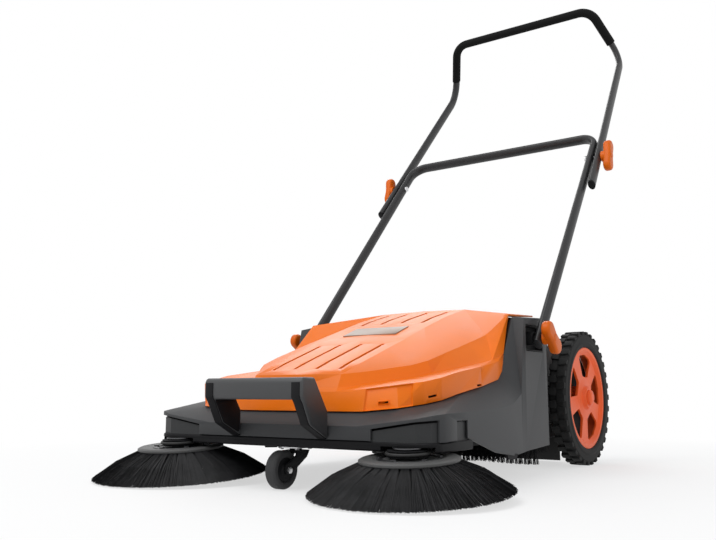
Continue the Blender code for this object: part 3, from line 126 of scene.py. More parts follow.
class Graph:
    """The nodes of a material, or of the surround."""

    def __init__(
        self, owner: bpy.types.Material | bpy.types.World, shader: str = "Principled BSDF"
    ) -> None:
        """Open the nodes that a new material or surround has.

        Args:
            owner: What the nodes belong to.
            shader: The name of the shader it starts with.
        """
        owner.use_nodes = True
        self.owner = owner
        self.tree = owner.node_tree
        self.shader = self.tree.nodes[shader]
        self.surface = self.shader.outputs[0].links[0].to_socket

    def node(self, kind: str, settings: dict | None = None, *values: object, out: int = 0) -> Signal:
        """Add a node.

        Args:
            kind: The node's type.
            settings: Attributes that are set before its sockets.
            values: Links, numbers or colours for its inputs in order; None leaves one alone.
            out: Which output to return.

        Returns:
            The node's output as a signal.
        """
        made = self.tree.nodes.new(kind)
        for key, value in (settings or {}).items():
            setattr(made, key, value)
        for socket, value in zip(made.inputs, values):
            if isinstance(value, Signal):
                self.tree.links.new(value.socket, socket)
            elif value is not None:
                socket.default_value = value
        return Signal(self, made.outputs[out])

    def place(self, scale: tuple[float, float, float] = (1.0, 1.0, 1.0)) -> Signal:
        """The piece's own coordinates, stretched by a scale."""
        coords = self.node("ShaderNodeTexCoord", out=3)
        return self.node("ShaderNodeMapping", {}, coords, None, None, scale)

    def noise(self, scale: float, detail: float = 3.0, stretch: tuple = (1.0, 1.0, 1.0)) -> Signal:
        """A soft noise of one scale per metre."""
        return self.node("ShaderNodeTexNoise", {}, self.place(stretch), None, scale, detail, 0.55)

    def mix(self, share: Signal, first: tuple, second: tuple) -> Signal:
        """Blend two colours by a value."""
        return self.node("ShaderNodeMix", {"data_type": "RGBA"}, share, *[None] * 5, first, second, out=2)

    def ramp(self, value: Signal, low: float, high: float) -> Signal:
        """Stretch a value so that low becomes 0 and high becomes 1."""
        return self.node("ShaderNodeMapRange", {"clamp": True}, value, low, high, 0.0, 1.0)

    def bump(self, height: Signal, strength: float, distance: float) -> None:
        """Raise the surface by a height."""
        normal = self.node("ShaderNodeBump", {}, strength, distance, None, height)
        self.feed("Normal", normal)

    def direct(self) -> Signal:
        """1 for rays from the eye and those by way of a mirror or glass, 0 for the rest."""
        seen, glossy, clear = (self.node("ShaderNodeLightPath", out=ray) for ray in (0, 3, 6))
        return seen.either(glossy).either(clear)

    def blend(self, share: Signal, other: Signal) -> None:
        """Show another shader in place of this one by a share.

        Args:
            share: How much of the other is shown, from 0 to 1.
            other: The other shader.
        """
        base = Signal(self, self.shader.outputs[0])
        mixed = self.node("ShaderNodeMixShader", {}, share, base, other)
        self.tree.links.new(mixed.socket, self.surface)

    def feed(self, name: str, value: object) -> None:
        """Set or link one of the shader's sockets.

        Args:
            name: The socket's name.
            value: A signal that is linked to it, or what it is set to.
        """
        socket = self.shader.inputs[name]
        if isinstance(value, Signal):
            self.tree.links.new(value.socket, socket)
        else:
            socket.default_value = value


def shade(colour: Sequence[float], factor: float) -> tuple[float, float, float, float]:
    """A colour made lighter or darker."""
    return tuple(min(1.0, part * factor) for part in colour) + (1.0,)


@dataclass(frozen=True)
class Finish:
    """A surface: its colour, how much that varies, its gloss and its grain."""

    name: str
    colour: tuple[float, float, float]
    roughness: float = 0.5
    variation: float = 0.10
    patch: float = 9.0
    grain: float = 900.0
    grain_depth: float = 0.00012
    grain_strength: float = 0.25
    gloss_variation: float = 0.10
    stretch: tuple[float, float, float] = (1.0, 1.0, 1.0)
    metallic: float = 0.0
    specular: float = 0.5

    def material(self) -> bpy.types.Material:
        """The node material, made once for each finish.

        Returns:
            The finish as a material.
        """
        if self.name in bpy.data.materials and bpy.data.materials[self.name].get("dressed"):
            return bpy.data.materials[self.name]
        graph = Graph(bpy.data.materials.new(self.name))
        patches = graph.noise(self.patch, 4.0)
        grain = graph.noise(self.grain, 2.0, self.stretch)
        tone = graph.ramp(patches * 0.7 + grain * 0.3, 0.3, 0.7)
        low, high = 1.0 - self.variation, 1.0 + self.variation
        graph.feed("Base Color", graph.mix(tone, shade(self.colour, low), shade(self.colour, high)))
        gloss = (patches - 0.5) * self.gloss_variation + grain * 0.06
        graph.feed("Roughness", gloss + (self.roughness - 0.03))
        graph.feed("Metallic", self.metallic)
        graph.feed("Specular IOR Level", self.specular)
        graph.bump(grain, self.grain_strength, self.grain_depth)
        graph.owner["dressed"] = True
        return graph.owner


class Finishes:
    """The finishes that the sweeper's pieces are made in."""

    SHELL = Finish("shell_moulding", (0.048, 0.049, 0.051), 0.50, 0.08, grain=700.0, specular=0.22)
    LOOP = Finish("loop_moulding", (0.040, 0.041, 0.043), 0.42, 0.08, grain=700.0, specular=0.5)
    COVER = Finish("cover_moulding", (0.86, 0.172, 0.001), 0.40, 0.06, grain=700.0, specular=0.28)
    KNOB = Finish("knob_moulding", (0.72, 0.130, 0.002), 0.38, 0.06, grain=900.0, specular=0.22)
    RIM = Finish("rim_moulding", (0.92, 0.125, 0.022), 0.42, 0.06, grain=700.0, specular=0.3)
    BLACK = Finish("black_moulding", (0.008, 0.008, 0.009), 0.58, 0.15, grain=800.0, specular=0.14)
    NOTCH = Finish("notch_moulding", (0.032, 0.033, 0.034), 0.50, 0.10, grain=700.0, specular=0.22)
    PLATE = Finish("bare_plate", (0.30, 0.205, 0.150), 0.42, 0.05, grain=500.0, grain_strength=0.12)
    TUBE = Finish("powder_coated_tube", (0.024, 0.024, 0.025), 0.38, 0.08, grain=1500.0, specular=0.35)
    DISC = Finish("disc_moulding", (0.085, 0.085, 0.084), 0.5, 0.08, grain=600.0, specular=0.3)
    TYRE = Finish(
        "tread_rubber", (0.011, 0.011, 0.011), 0.76, 0.18, grain=500.0, grain_strength=0.4, specular=0.25
    )
    CASTER = Finish("caster_rubber", (0.040, 0.040, 0.041), 0.65, 0.12, grain=600.0, specular=0.3)
    RUBBER = Finish("belt_rubber", (0.012, 0.012, 0.012), 0.65, 0.15)
    FOAM = Finish(
        "grip_foam", (0.005, 0.005, 0.005), 0.85, 0.20, grain=1300.0, grain_strength=0.6, specular=0.15
    )
    BRISTLE = Finish(
        "bristle", (0.014, 0.014, 0.015), 0.48, 0.5, 60.0, grain=400.0, grain_strength=0.1, specular=0.15
    )
    STEEL = Finish(
        "zinc_plate", (0.62, 0.62, 0.63), 0.28, 0.06, metallic=1.0, grain=600.0, stretch=(1.0, 1.0, 12.0)
    )
    DARK_STEEL = Finish("dark_steel", (0.10, 0.10, 0.105), 0.35, 0.08, metallic=1.0, grain=600.0)
    BRASS = Finish("bush_brass", (0.62, 0.45, 0.19), 0.32, 0.06, metallic=1.0)


def pick(*pieces: bpy.types.Object) -> None:
    """Select these pieces alone, the first of them active.

    Args:
        pieces: What is selected.
    """
    bpy.ops.object.select_all(action="DESELECT")
    for piece in pieces:
        piece.select_set(True)
    bpy.context.view_layer.objects.active = pieces[0]


def edit(piece: bpy.types.Object, selected: bool = True) -> None:
    """Open a piece in edit mode with all of it, or nothing, selected.

    Args:
        piece: What is opened.
        selected: Whether all of it is selected.
    """
    pick(piece)
    bpy.ops.object.mode_set(mode="EDIT")
    bpy.ops.mesh.select_mode(type="VERT")
    bpy.ops.mesh.select_all(action="SELECT" if selected else "DESELECT")


def close_edit() -> None:
    """Leave edit mode."""
    bpy.ops.object.mode_set(mode="OBJECT")


def pick_faces(piece: bpy.types.Object, chosen: Callable[[bpy.types.MeshPolygon], bool]) -> None:
    """Open a piece in edit mode with the faces selected that pass a test.

    Args:
        piece: What is opened.
        chosen: The test, which gets each face.
    """
    edit(piece, selected=False)
    bpy.ops.mesh.select_mode(type="FACE")
    close_edit()
    for face in piece.data.polygons:
        face.select = chosen(face)
    bpy.ops.object.mode_set(mode="EDIT")


def face_outwards(piece: bpy.types.Object) -> bpy.types.Object:
    """Turn a piece's normals out of it.

    Args:
        piece: The mesh.

    Returns:
        The same piece.
    """
    edit(piece)
    bpy.ops.mesh.normals_make_consistent(inside=False)
    close_edit()
    return piece


def discard(*pieces: bpy.types.Object) -> None:
    """Remove shapes that were only tools or patterns."""
    for piece in pieces:
        bpy.data.objects.remove(piece, do_unlink=True)


def draw(points: Sequence[Vector], closed: bool) -> bpy.types.Object:
    """Draw a wire by pulling one vertex from point to point.

    Args:
        points: The places it goes through.
        closed: Whether it ends where it starts.

    Returns:
        The wire as an object.
    """
    bpy.ops.object.select_all(action="DESELECT")
    bpy.ops.mesh.primitive_plane_add(size=0.001)
    wire = bpy.context.object
    bpy.ops.object.mode_set(mode="EDIT")
    bpy.ops.mesh.select_mode(type="VERT")
    bpy.ops.mesh.select_all(action="SELECT")
    bpy.ops.mesh.merge(type="CENTER")
    bpy.ops.transform.translate(value=points[0])
    route = list(points) + ([points[0]] if closed else [])
    for near, far in zip(route, route[1:]):
        bpy.ops.mesh.extrude_region_move(TRANSFORM_OT_translate={"value": far - near})
    bpy.ops.mesh.select_all(action="SELECT")
    bpy.ops.mesh.remove_doubles(threshold=2e-6)
    close_edit()
    return wire


def swung(point: tuple[float, float], angle: float) -> tuple[float, float]:
    """A flat point turned about the middle."""
    a, b = point
    return (a * math.cos(angle) - b * math.sin(angle), a * math.sin(angle) + b * math.cos(angle))


def standing_on(origin: Vector, axis: Vector) -> Matrix:
    """The placing that puts local Z along an axis through a point."""
    turn = Z_AXIS.rotation_difference(axis.normalized())
    return Matrix.Translation(origin) @ turn.to_matrix().to_4x4()


def put(piece: bpy.types.Object, placing: Matrix) -> bpy.types.Object:
    """Move a piece's mesh to its place and keep its object at the origin.

    Args:
        piece: The mesh.
        placing: Where it goes.

    Returns:
        The same piece.
    """
    piece.matrix_world = placing
    pick(piece)
    bpy.ops.object.transform_apply(location=True, rotation=True, scale=True)
    return piece


def both_ways(half: Outline) -> list[tuple[float, float]]:
    """A section with its mirror image below it."""
    return [*half, *((radius, -height) for radius, height in reversed(half))]


def rounded(
    outline: Outline, radius: float, steps: int = 3, closed: bool = True
) -> list[tuple[float, float]]:
    """Round an outline's corners.

    Args:
        outline: Its corner points.
        radius: The largest radius of a corner.
        steps: Segments in each corner.
        closed: Whether the last point joins the first.

    Returns:
        The outline with arcs in place of its corners.
    """
    points = [Vector(point) for point in outline]
    count = len(points)
    made: list[tuple[float, float]] = []
    for i, point in enumerate(points):
        if not closed and i in (0, count - 1):
            made.append(tuple(point))
            continue
        back, ahead = points[i - 1] - point, points[(i + 1) % count] - point
        half = back.angle(ahead) / 2
        reach = min(radius / math.tan(half), 0.45 * back.length, 0.45 * ahead.length)
        if half > STRAIGHT or reach < 1e-5:
            made.append(tuple(point))
            continue
        start, end = point + back.normalized() * reach, point + ahead.normalized() * reach
        for k in range(steps + 1):
            t = k / steps
            made.append(tuple(start * (1 - t) ** 2 + point * (2 * t * (1 - t)) + end * t**2))
    return made


def turned(
    profile: Outline,
    origin: Vector,
    axis: Vector,
    corner: float = 0.0006,
    steps: int = 96,
    closed: bool = True,
) -> bpy.types.Object:
    """Spin a profile of (radius, height) about an axis.

    Args:
        profile: The section; an open one starts and ends on the axis.
        origin: A point of the axis at height 0.
        axis: The axis's direction.
        corner: The radius that its corners are rounded to.
        steps: Segments round the axis.
        closed: Whether the section closes into a ring.

    Returns:
        The turned piece.
    """
    section = rounded(profile, corner, 3, closed)
    shape = draw([Vector((radius, 0.0, height)) for radius, height in section], closed)
    edit(shape)
    bpy.ops.mesh.spin(steps=steps, angle=math.tau, center=(0, 0, 0), axis=(0, 0, 1), use_auto_merge=True)
    bpy.ops.mesh.select_all(action="SELECT")
    bpy.ops.mesh.remove_doubles(threshold=1e-6)
    bpy.ops.mesh.normals_make_consistent(inside=False)
    close_edit()
    return put(shape, standing_on(origin, axis))


def slab(
    outline: Outline, low: float, high: float, placing: Matrix | None = None
) -> bpy.types.Object:
    """Raise an outline in X and Y from one height to another, then place it.

    Args:
        outline: Its corners.
        low: The height it starts at.
        high: The height it ends at.
        placing: Where it goes, if it is moved.

    Returns:
        The slab.
    """
    shape = draw([Vector((a, b, low)) for a, b in outline], True)
    edit(shape)
    bpy.ops.mesh.edge_face_add()
    bpy.ops.mesh.extrude_region_move(TRANSFORM_OT_translate={"value": (0.0, 0.0, high - low)})
    bpy.ops.mesh.select_all(action="SELECT")
    bpy.ops.mesh.normals_make_consistent(inside=False)
    close_edit()
    return put(shape, placing) if placing else shape


def sideways(side: Side, centre: Vector) -> Matrix:
    """The placing that lays X and Y onto world Y and Z, with height outwards.

    Args:
        side: The side whose outward way is up.
        centre: Where the middle goes.

    Returns:
        The placing.
    """
    out = side.outward
    turn = Matrix(((0.0, 0.0, out.x), (1.0, 0.0, 0.0), (0.0, 1.0, 0.0))).to_4x4()
    return Matrix.Translation(centre) @ turn


def side_plate(
    side: Side, outline: Outline, x: float, thickness: float, bevel: float = 0.0
) -> bpy.types.Object:
    """A plate that stands upright on one side.

    Args:
        side: The side it is on.
        outline: Its corners in Y and Z, with Y from the axle.
        x: How far its inner face is from the middle.
        thickness: How thick it is, outwards.
        bevel: The width of its rounded edges, if it has them.

    Returns:
        The plate.
    """
    plate = slab(outline, 0.0, thickness)
    if bevel:
        bevelled(plate, bevel, 2)
    put(plate, sideways(side, spot(side.value * x, 0.0, 0.0)))
    if side is Side.LEFT:
        plate.data.flip_normals()
    return plate


def groove(radius: float, low: float) -> list[tuple[float, float]]:
    """The edge of a round-belt pulley from its upper face to its lower one, for its rolling radius.

    Args:
        radius: The radius at which the belt's middle runs.
        low: The height of the lower face.

    Returns:
        The outline of the groove with its lips.
    """
    high, middle = low + 2 * PULLEY_HALF, low + PULLEY_HALF
    lip, floor = radius - 0.0012, 0.983 * radius - 0.0033
    return [
        (lip, high), (lip, high - 0.0008), (floor, middle + 0.0016),
        (floor, middle - 0.0016), (lip, low + 0.0008), (lip, low),
    ]


def apply_modifier(piece: bpy.types.Object, kind: str, **settings: object) -> bpy.types.Object:
    """Add a modifier with its settings and apply it.

    Args:
        piece: The mesh.
        kind: The modifier's type.
        settings: Its attributes.

    Returns:
        The same piece.
    """
    pick(piece)
    modifier = piece.modifiers.new(kind.lower(), kind)
    for key, value in settings.items():
        setattr(modifier, key, value)
    bpy.ops.object.modifier_apply(modifier=modifier.name)
    return piece


def bevelled(
    piece: bpy.types.Object, width: float, segments: int = 3, angle: float = 30.0
) -> bpy.types.Object:
    """Round the sharp edges of a piece.

    Args:
        piece: The mesh.
        width: The rounding's width.
        segments: Its segments.
        angle: The angle in degrees from which an edge is sharp.

    Returns:
        The same piece.
    """
    return apply_modifier(
        piece,
        "BEVEL",
        width=width,
        segments=segments,
        limit_method="ANGLE",
        angle_limit=math.radians(angle),
        miter_outer="MITER_ARC",
        loop_slide=True,
    )


def carved(piece: bpy.types.Object, cutters: Iterable[bpy.types.Object]) -> bpy.types.Object:
    """Cut shapes out of a piece; the shapes are used up.

    Args:
        piece: The mesh.
        cutters: The shapes.

    Returns:
        The same piece.
    """
    for cutter in cutters:
        apply_modifier(piece, "BOOLEAN", object=cutter, operation="DIFFERENCE", solver="EXACT")
        discard(cutter)
    return piece


def pulled(
    piece: bpy.types.Object, pulls: Sequence[tuple[tuple, tuple]], reach: float = 0.006
) -> bpy.types.Object:
    """Move the corners near each place, on both sides.

    Args:
        piece: The mesh.
        pulls: Places from the axle, for the right side, each with how far its corners move.
        reach: How near a corner has to be.

    Returns:
        The same piece.
    """
    for side in Side:
        flip = Vector((side.value, 1.0, 1.0))
        for place, shift in pulls:
            target = spot(*place) * flip
            for vertex in piece.data.vertices:
                if (vertex.co - target).length < reach:
                    vertex.co += Vector(shift) * flip
    return piece


def joined(pieces: Sequence[bpy.types.Object]) -> bpy.types.Object:
    """Put several shapes in one object.

    Args:
        pieces: The shapes.

    Returns:
        The first of them, with all in it.
    """
    pick(*pieces)
    bpy.ops.object.join()
    return bpy.context.object


def twin(piece: bpy.types.Object, placing: Matrix | None = None, flip: bool = False) -> bpy.types.Object:
    """Copy a piece with a mesh of its own.

    Args:
        piece: What is copied.
        placing: Where its mesh moves to.
        flip: Whether the placing mirrors it, so that its faces are turned back.

    Returns:
        The copy.
    """
    copy = piece.copy()
    copy.data = piece.data.copy()
    bpy.context.scene.collection.objects.link(copy)
    if placing:
        copy.data.transform(placing)
    if flip:
        copy.data.flip_normals()
    return copy


def mirrored(piece: bpy.types.Object) -> bpy.types.Object:
    """The same piece on the other side."""
    return twin(piece, Matrix.Scale(-1.0, 4, X_AXIS), flip=True)


def refined(node: str, width: float, segments: int = 3, angle: float = 28.0) -> bpy.types.Object:
    """A copy of a node's solid with its loose triangles merged into faces and its edges rounded.

    Args:
        node: The node's name.
        width: The width of its rounded edges, or 0 for none.
        segments: Their segments.
        angle: The angle in degrees from which an edge is sharp.

    Returns:
        The copy.
    """
    copy = twin(frame["nodes"][node])
    copy.parent = None
    copy.matrix_world = Matrix.Identity(4)
    edit(copy)
    bpy.ops.mesh.remove_doubles(threshold=2e-6)
    bpy.ops.mesh.dissolve_limited(angle_limit=math.radians(0.6))
    close_edit()
    return bevelled(copy, width, segments, angle) if width else copy


def settle(
    piece: bpy.types.Object, name: str, finish: Finish, *nodes: str, stands_for: bool = True
) -> None:
    """Finish a piece and hand it to the body that carries it.

    Args:
        piece: The finished mesh.
        name: Its name.
        finish: What it is made in.
        nodes: The nodes it belongs to, the first of which gives its body.
        stands_for: Whether it takes the nodes' place or only adds to them.
    """
    piece.name = name
    piece.data.name = name
    piece.data.materials.clear()
    piece.data.materials.append(finish.material())
    for polygon in piece.data.polygons:
        polygon.material_index = 0
    pick(piece)
    bpy.ops.object.shade_smooth_by_angle(angle=math.radians(32))
    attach(piece, BODY_OF[nodes[0]])
    if stands_for:
        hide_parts(*nodes)
    log.info("%s: %d faces on %s", name, len(piece.data.polygons), BODY_OF[nodes[0]])


def hexagon_bolt(origin: Vector, axis: Vector, radius: float, height: float) -> bpy.types.Object:
    """A hexagon head with a chamfered top.

    Args:
        origin: The middle of its underside.
        axis: The way it points.
        radius: From its middle to a corner.
        height: How high it stands.

    Returns:
        The head.
    """
    bpy.ops.object.select_all(action="DESELECT")
    place = (0.0, 0.0, height / 2)
    bpy.ops.mesh.primitive_cylinder_add(vertices=6, radius=radius, depth=height, location=place)
    head = bpy.context.object
    bpy.ops.object.transform_apply(location=True)
    low, top = -0.0004, height + 1e-4
    inner, outer = radius * 0.80, radius * 1.1
    chamfer = [(0.0, top), (inner, top), (outer, height * 0.72), (outer, low), (0.0, low)]
    envelope = turned(chamfer, Vector(), Z_AXIS, 0.0, 48, closed=False)
    apply_modifier(head, "BOOLEAN", object=envelope, operation="INTERSECT", solver="EXACT")
    discard(envelope)
    return put(head, standing_on(origin, axis))


def fit(node: str, name: str, finish: Finish, width: float, segments: int = 2) -> None:
    """Settle a node's own solid with its edges rounded."""
    settle(refined(node, width, segments), name, finish, node)


@dataclass
class Housing:
    """The dark shell with its deck and cheeks, the front beam and the strip behind the roller."""

    edge: float = 0.0022
    notch_foot: float = 0.080
    notch_skin: float = 0.0002
    skirt_pulls: tuple[tuple[tuple, tuple], ...] = (((0.2720, -0.477, 0.062), (0.0, 0.0, -0.0075)),)
    foot_outline: tuple[tuple[float, float], ...] = (
        (-0.424, 0.0400), (-0.392, 0.0385), (-0.386, 0.0475), (-0.430, 0.0500)
    )
    foot_x: float = 0.2635
    foot_thickness: float = 0.0045

    def notch_faces(self) -> bpy.types.Object:
        """The outer faces of the beam's upstands, which close the notches over the side brushes.

        Returns:
            The faces as a thin skin.
        """
        faces = refined("front_beam", 0.0)

        def unseen(face: bpy.types.MeshPolygon) -> bool:
            """Whether a face of the beam isn't one of those in the notches.

            Args:
                face: A face of the beam.

            Returns:
                Whether it is left out.
            """
            upright = abs(face.normal.z) < 0.1 and face.center.z > self.notch_foot
            outward = face.normal.y < -0.3 or face.normal.x * face.center.x > 0.1
            return not (upright and outward)

        pick_faces(faces, unseen)
        bpy.ops.mesh.delete(type="FACE")
        close_edit()
        return apply_modifier(faces, "SOLIDIFY", thickness=self.notch_skin, offset=1.0)

    def build(self) -> None:
        """Model and settle the shell and what is fixed to it."""
        shell = pulled(refined("housing", 0.0), self.skirt_pulls)
        settle(bevelled(shell, self.edge, 3, 28.0), "housing_shell", Finishes.SHELL, "housing")
        for side in Side:
            foot = side_plate(side, self.foot_outline, self.foot_x, self.foot_thickness)
            settle(foot, f"skirt_foot_{side.word}", Finishes.BLACK, "housing", stands_for=False)
        settle(self.notch_faces(), "notch_faces", Finishes.NOTCH, "front_beam", stands_for=False)
        fit("front_beam", "front_cross_beam", Finishes.BLACK, 0.0012)
        fit("rear_flap", "rear_flap_strip", Finishes.RUBBER, 0.0008)
        for side in Side:
            fit(f"handle_bracket_{side.word}", f"bracket_cup_{side.word}", Finishes.BLACK, 0.0010)


@dataclass
class Hopper:
    """The orange cover with its grooves, the bare plate in it and the black bin below."""

    edge: float = 0.0030
    recess_from: float = 0.146
    recess_to: float = 0.217
    recess_margin: float = 0.0025
    recess_depth: float = 0.0045
    band_front: float = -0.60
    band_low: float = 0.128
    band_high: float = 0.158
    edge_pulls: tuple[tuple[tuple, tuple], ...] = (
        ((0.2297, -0.6350, 0.1313), (-0.0028, 0.0035, 0.0009)),
        ((0.2430, -0.6075, 0.1370), (-0.0025, 0.0037, 0.0010)),
        ((0.2499, -0.5658, 0.1429), (-0.0055, 0.0046, 0.0041)),
        ((0.2510, -0.4756, 0.1506), (-0.0068, 0.0004, 0.0086)),
        ((0.2479, -0.4035, 0.1608), (-0.0071, -0.0012, 0.0106)),
        ((0.2408, -0.3716, 0.1788), (-0.0054, -0.0054, 0.0078)),
        ((0.2399, -0.3637, 0.1953), (-0.0058, -0.0046, 0.0068)),
        ((0.2390, -0.3559, 0.2117), (-0.0061, -0.0036, 0.0059)),
        ((0.2349, -0.3191, 0.2886), (-0.0076, 0.0009, 0.0012)),
    )
    slit_width: float = 0.0048
    slit_x: tuple[float, ...] = (-0.070, -0.0233, 0.0233, 0.070)
    slit_low: float = 0.13
    slit_high: float = 0.36
    slit_ends: tuple[tuple[float, float], ...] = ((-0.628, -0.504), (-0.361, -0.266))

    def hand_recesses(self, cover: bpy.types.Object) -> None:
        """Sink the hand recess into the lower band of the cover on each side.

        Args:
            cover: The cover before its edges are rounded.
        """
        for side in Side:
            for x in (self.recess_from, self.recess_to):
                edit(cover)
                bpy.ops.mesh.bisect(plane_co=(side.value * x, 0.0, 0.0), plane_no=(1.0, 0.0, 0.0))
                close_edit()

            def in_band(face: bpy.types.MeshPolygon) -> bool:
                """Whether a face is the recess's part of the front band.

                Args:
                    face: A face of the cover.

                Returns:
                    Whether the recess is sunk into it.
                """
                middle, out = face.center, face.normal
                return (
                    self.recess_from < side.value * middle.x < self.recess_to
                    and middle.y < AXLE_Y + self.band_front
                    and self.band_low < middle.z < self.band_high
                    and out.y < -0.45
                    and abs(out.z) < 0.6
                    and face.area > 1e-4
                )

            pick_faces(cover, in_band)
            bpy.ops.mesh.inset(thickness=self.recess_margin, depth=-self.recess_depth, use_boundary=True)
            close_edit()

    def slits(self) -> list[bpy.types.Object]:
        """Cutters for the narrow slit along each groove of the cover's top.

        Returns:
            The cutters.
        """
        cutters = []
        half = self.slit_width / 2
        placing = Matrix.Translation((0.0, AXLE_Y, 0.0))
        for x in self.slit_x:
            for front, rear in self.slit_ends:
                outline = [(x - half, front), (x + half, front), (x + half, rear), (x - half, rear)]
                ends = rounded(outline, half * 0.9, 4)
                cutters.append(slab(ends, self.slit_low, self.slit_high, placing))
        return cutters

    def build(self) -> None:
        """Model and settle the cover, the plate and the bin."""
        cover = pulled(refined("hopper_cover", 0.0), self.edge_pulls)
        self.hand_recesses(cover)
        cover = carved(bevelled(cover, self.edge, 3, 14.0), self.slits())
        settle(cover, "hopper_cover_shell", Finishes.COVER, "hopper_cover")
        fit("cover_plate", "cover_bare_plate", Finishes.PLATE, 0.0004)
        fit("hopper_bin", "hopper_dirt_bin", Finishes.BLACK, 0.0012)


@dataclass
class CarryHandle:
    """The loop across the front, with black sheets of painted shade inside its arms and down their
    fronts.
    """

    edge: float = 0.0030
    inside: float = 0.080
    arm: float = 0.020
    top: float = 0.173
    back: float = -0.7003
    # Thickness of the black sheets inside the arms, which are painted shade.
    liner: float = 0.0012

    def build(self) -> None:
        """Model and settle the loop with its black sheets of painted shade."""
        fit("carry_handle", "carry_loop", Finishes.LOOP, self.edge, 3)
        # Black sheets inside the arms and down their fronts: painted shade where the loop's own faces lie
        # in shade.
        back, top = self.back - 0.003, self.top - 0.034
        outline = [
            (back, 0.086), (back, 0.121), (back - 0.0105, top),
            (back - 0.058, top), (back - 0.053, top - 0.008), (back - 0.037, 0.103),
        ]
        edge = [
            (self.back - 0.0662, self.top - 0.0075),
            (self.back - 0.0662, self.top - 0.0294),
            (self.back - 0.0592, self.top - 0.0394),
            (self.back - 0.0430, 0.1024),
            (self.back - 0.0010, 0.0806),
        ]
        inner = [(y + 0.004, z + 0.0005) for y, z in reversed(edge)]
        for side in Side:
            inner_shade_sheet = side_plate(side, rounded(outline, 0.004), self.inside - self.liner, self.liner, 0.0005)
            settle(inner_shade_sheet, f"carry_liner_{side.word}", Finishes.BLACK, "carry_handle", stands_for=False)
            front_shade_sheet = side_plate(side, edge + inner, self.inside + 0.0002, self.arm - 0.0045, 0.0006)
            settle(front_shade_sheet, f"carry_edge_{side.word}", Finishes.BLACK, "carry_handle", stands_for=False)


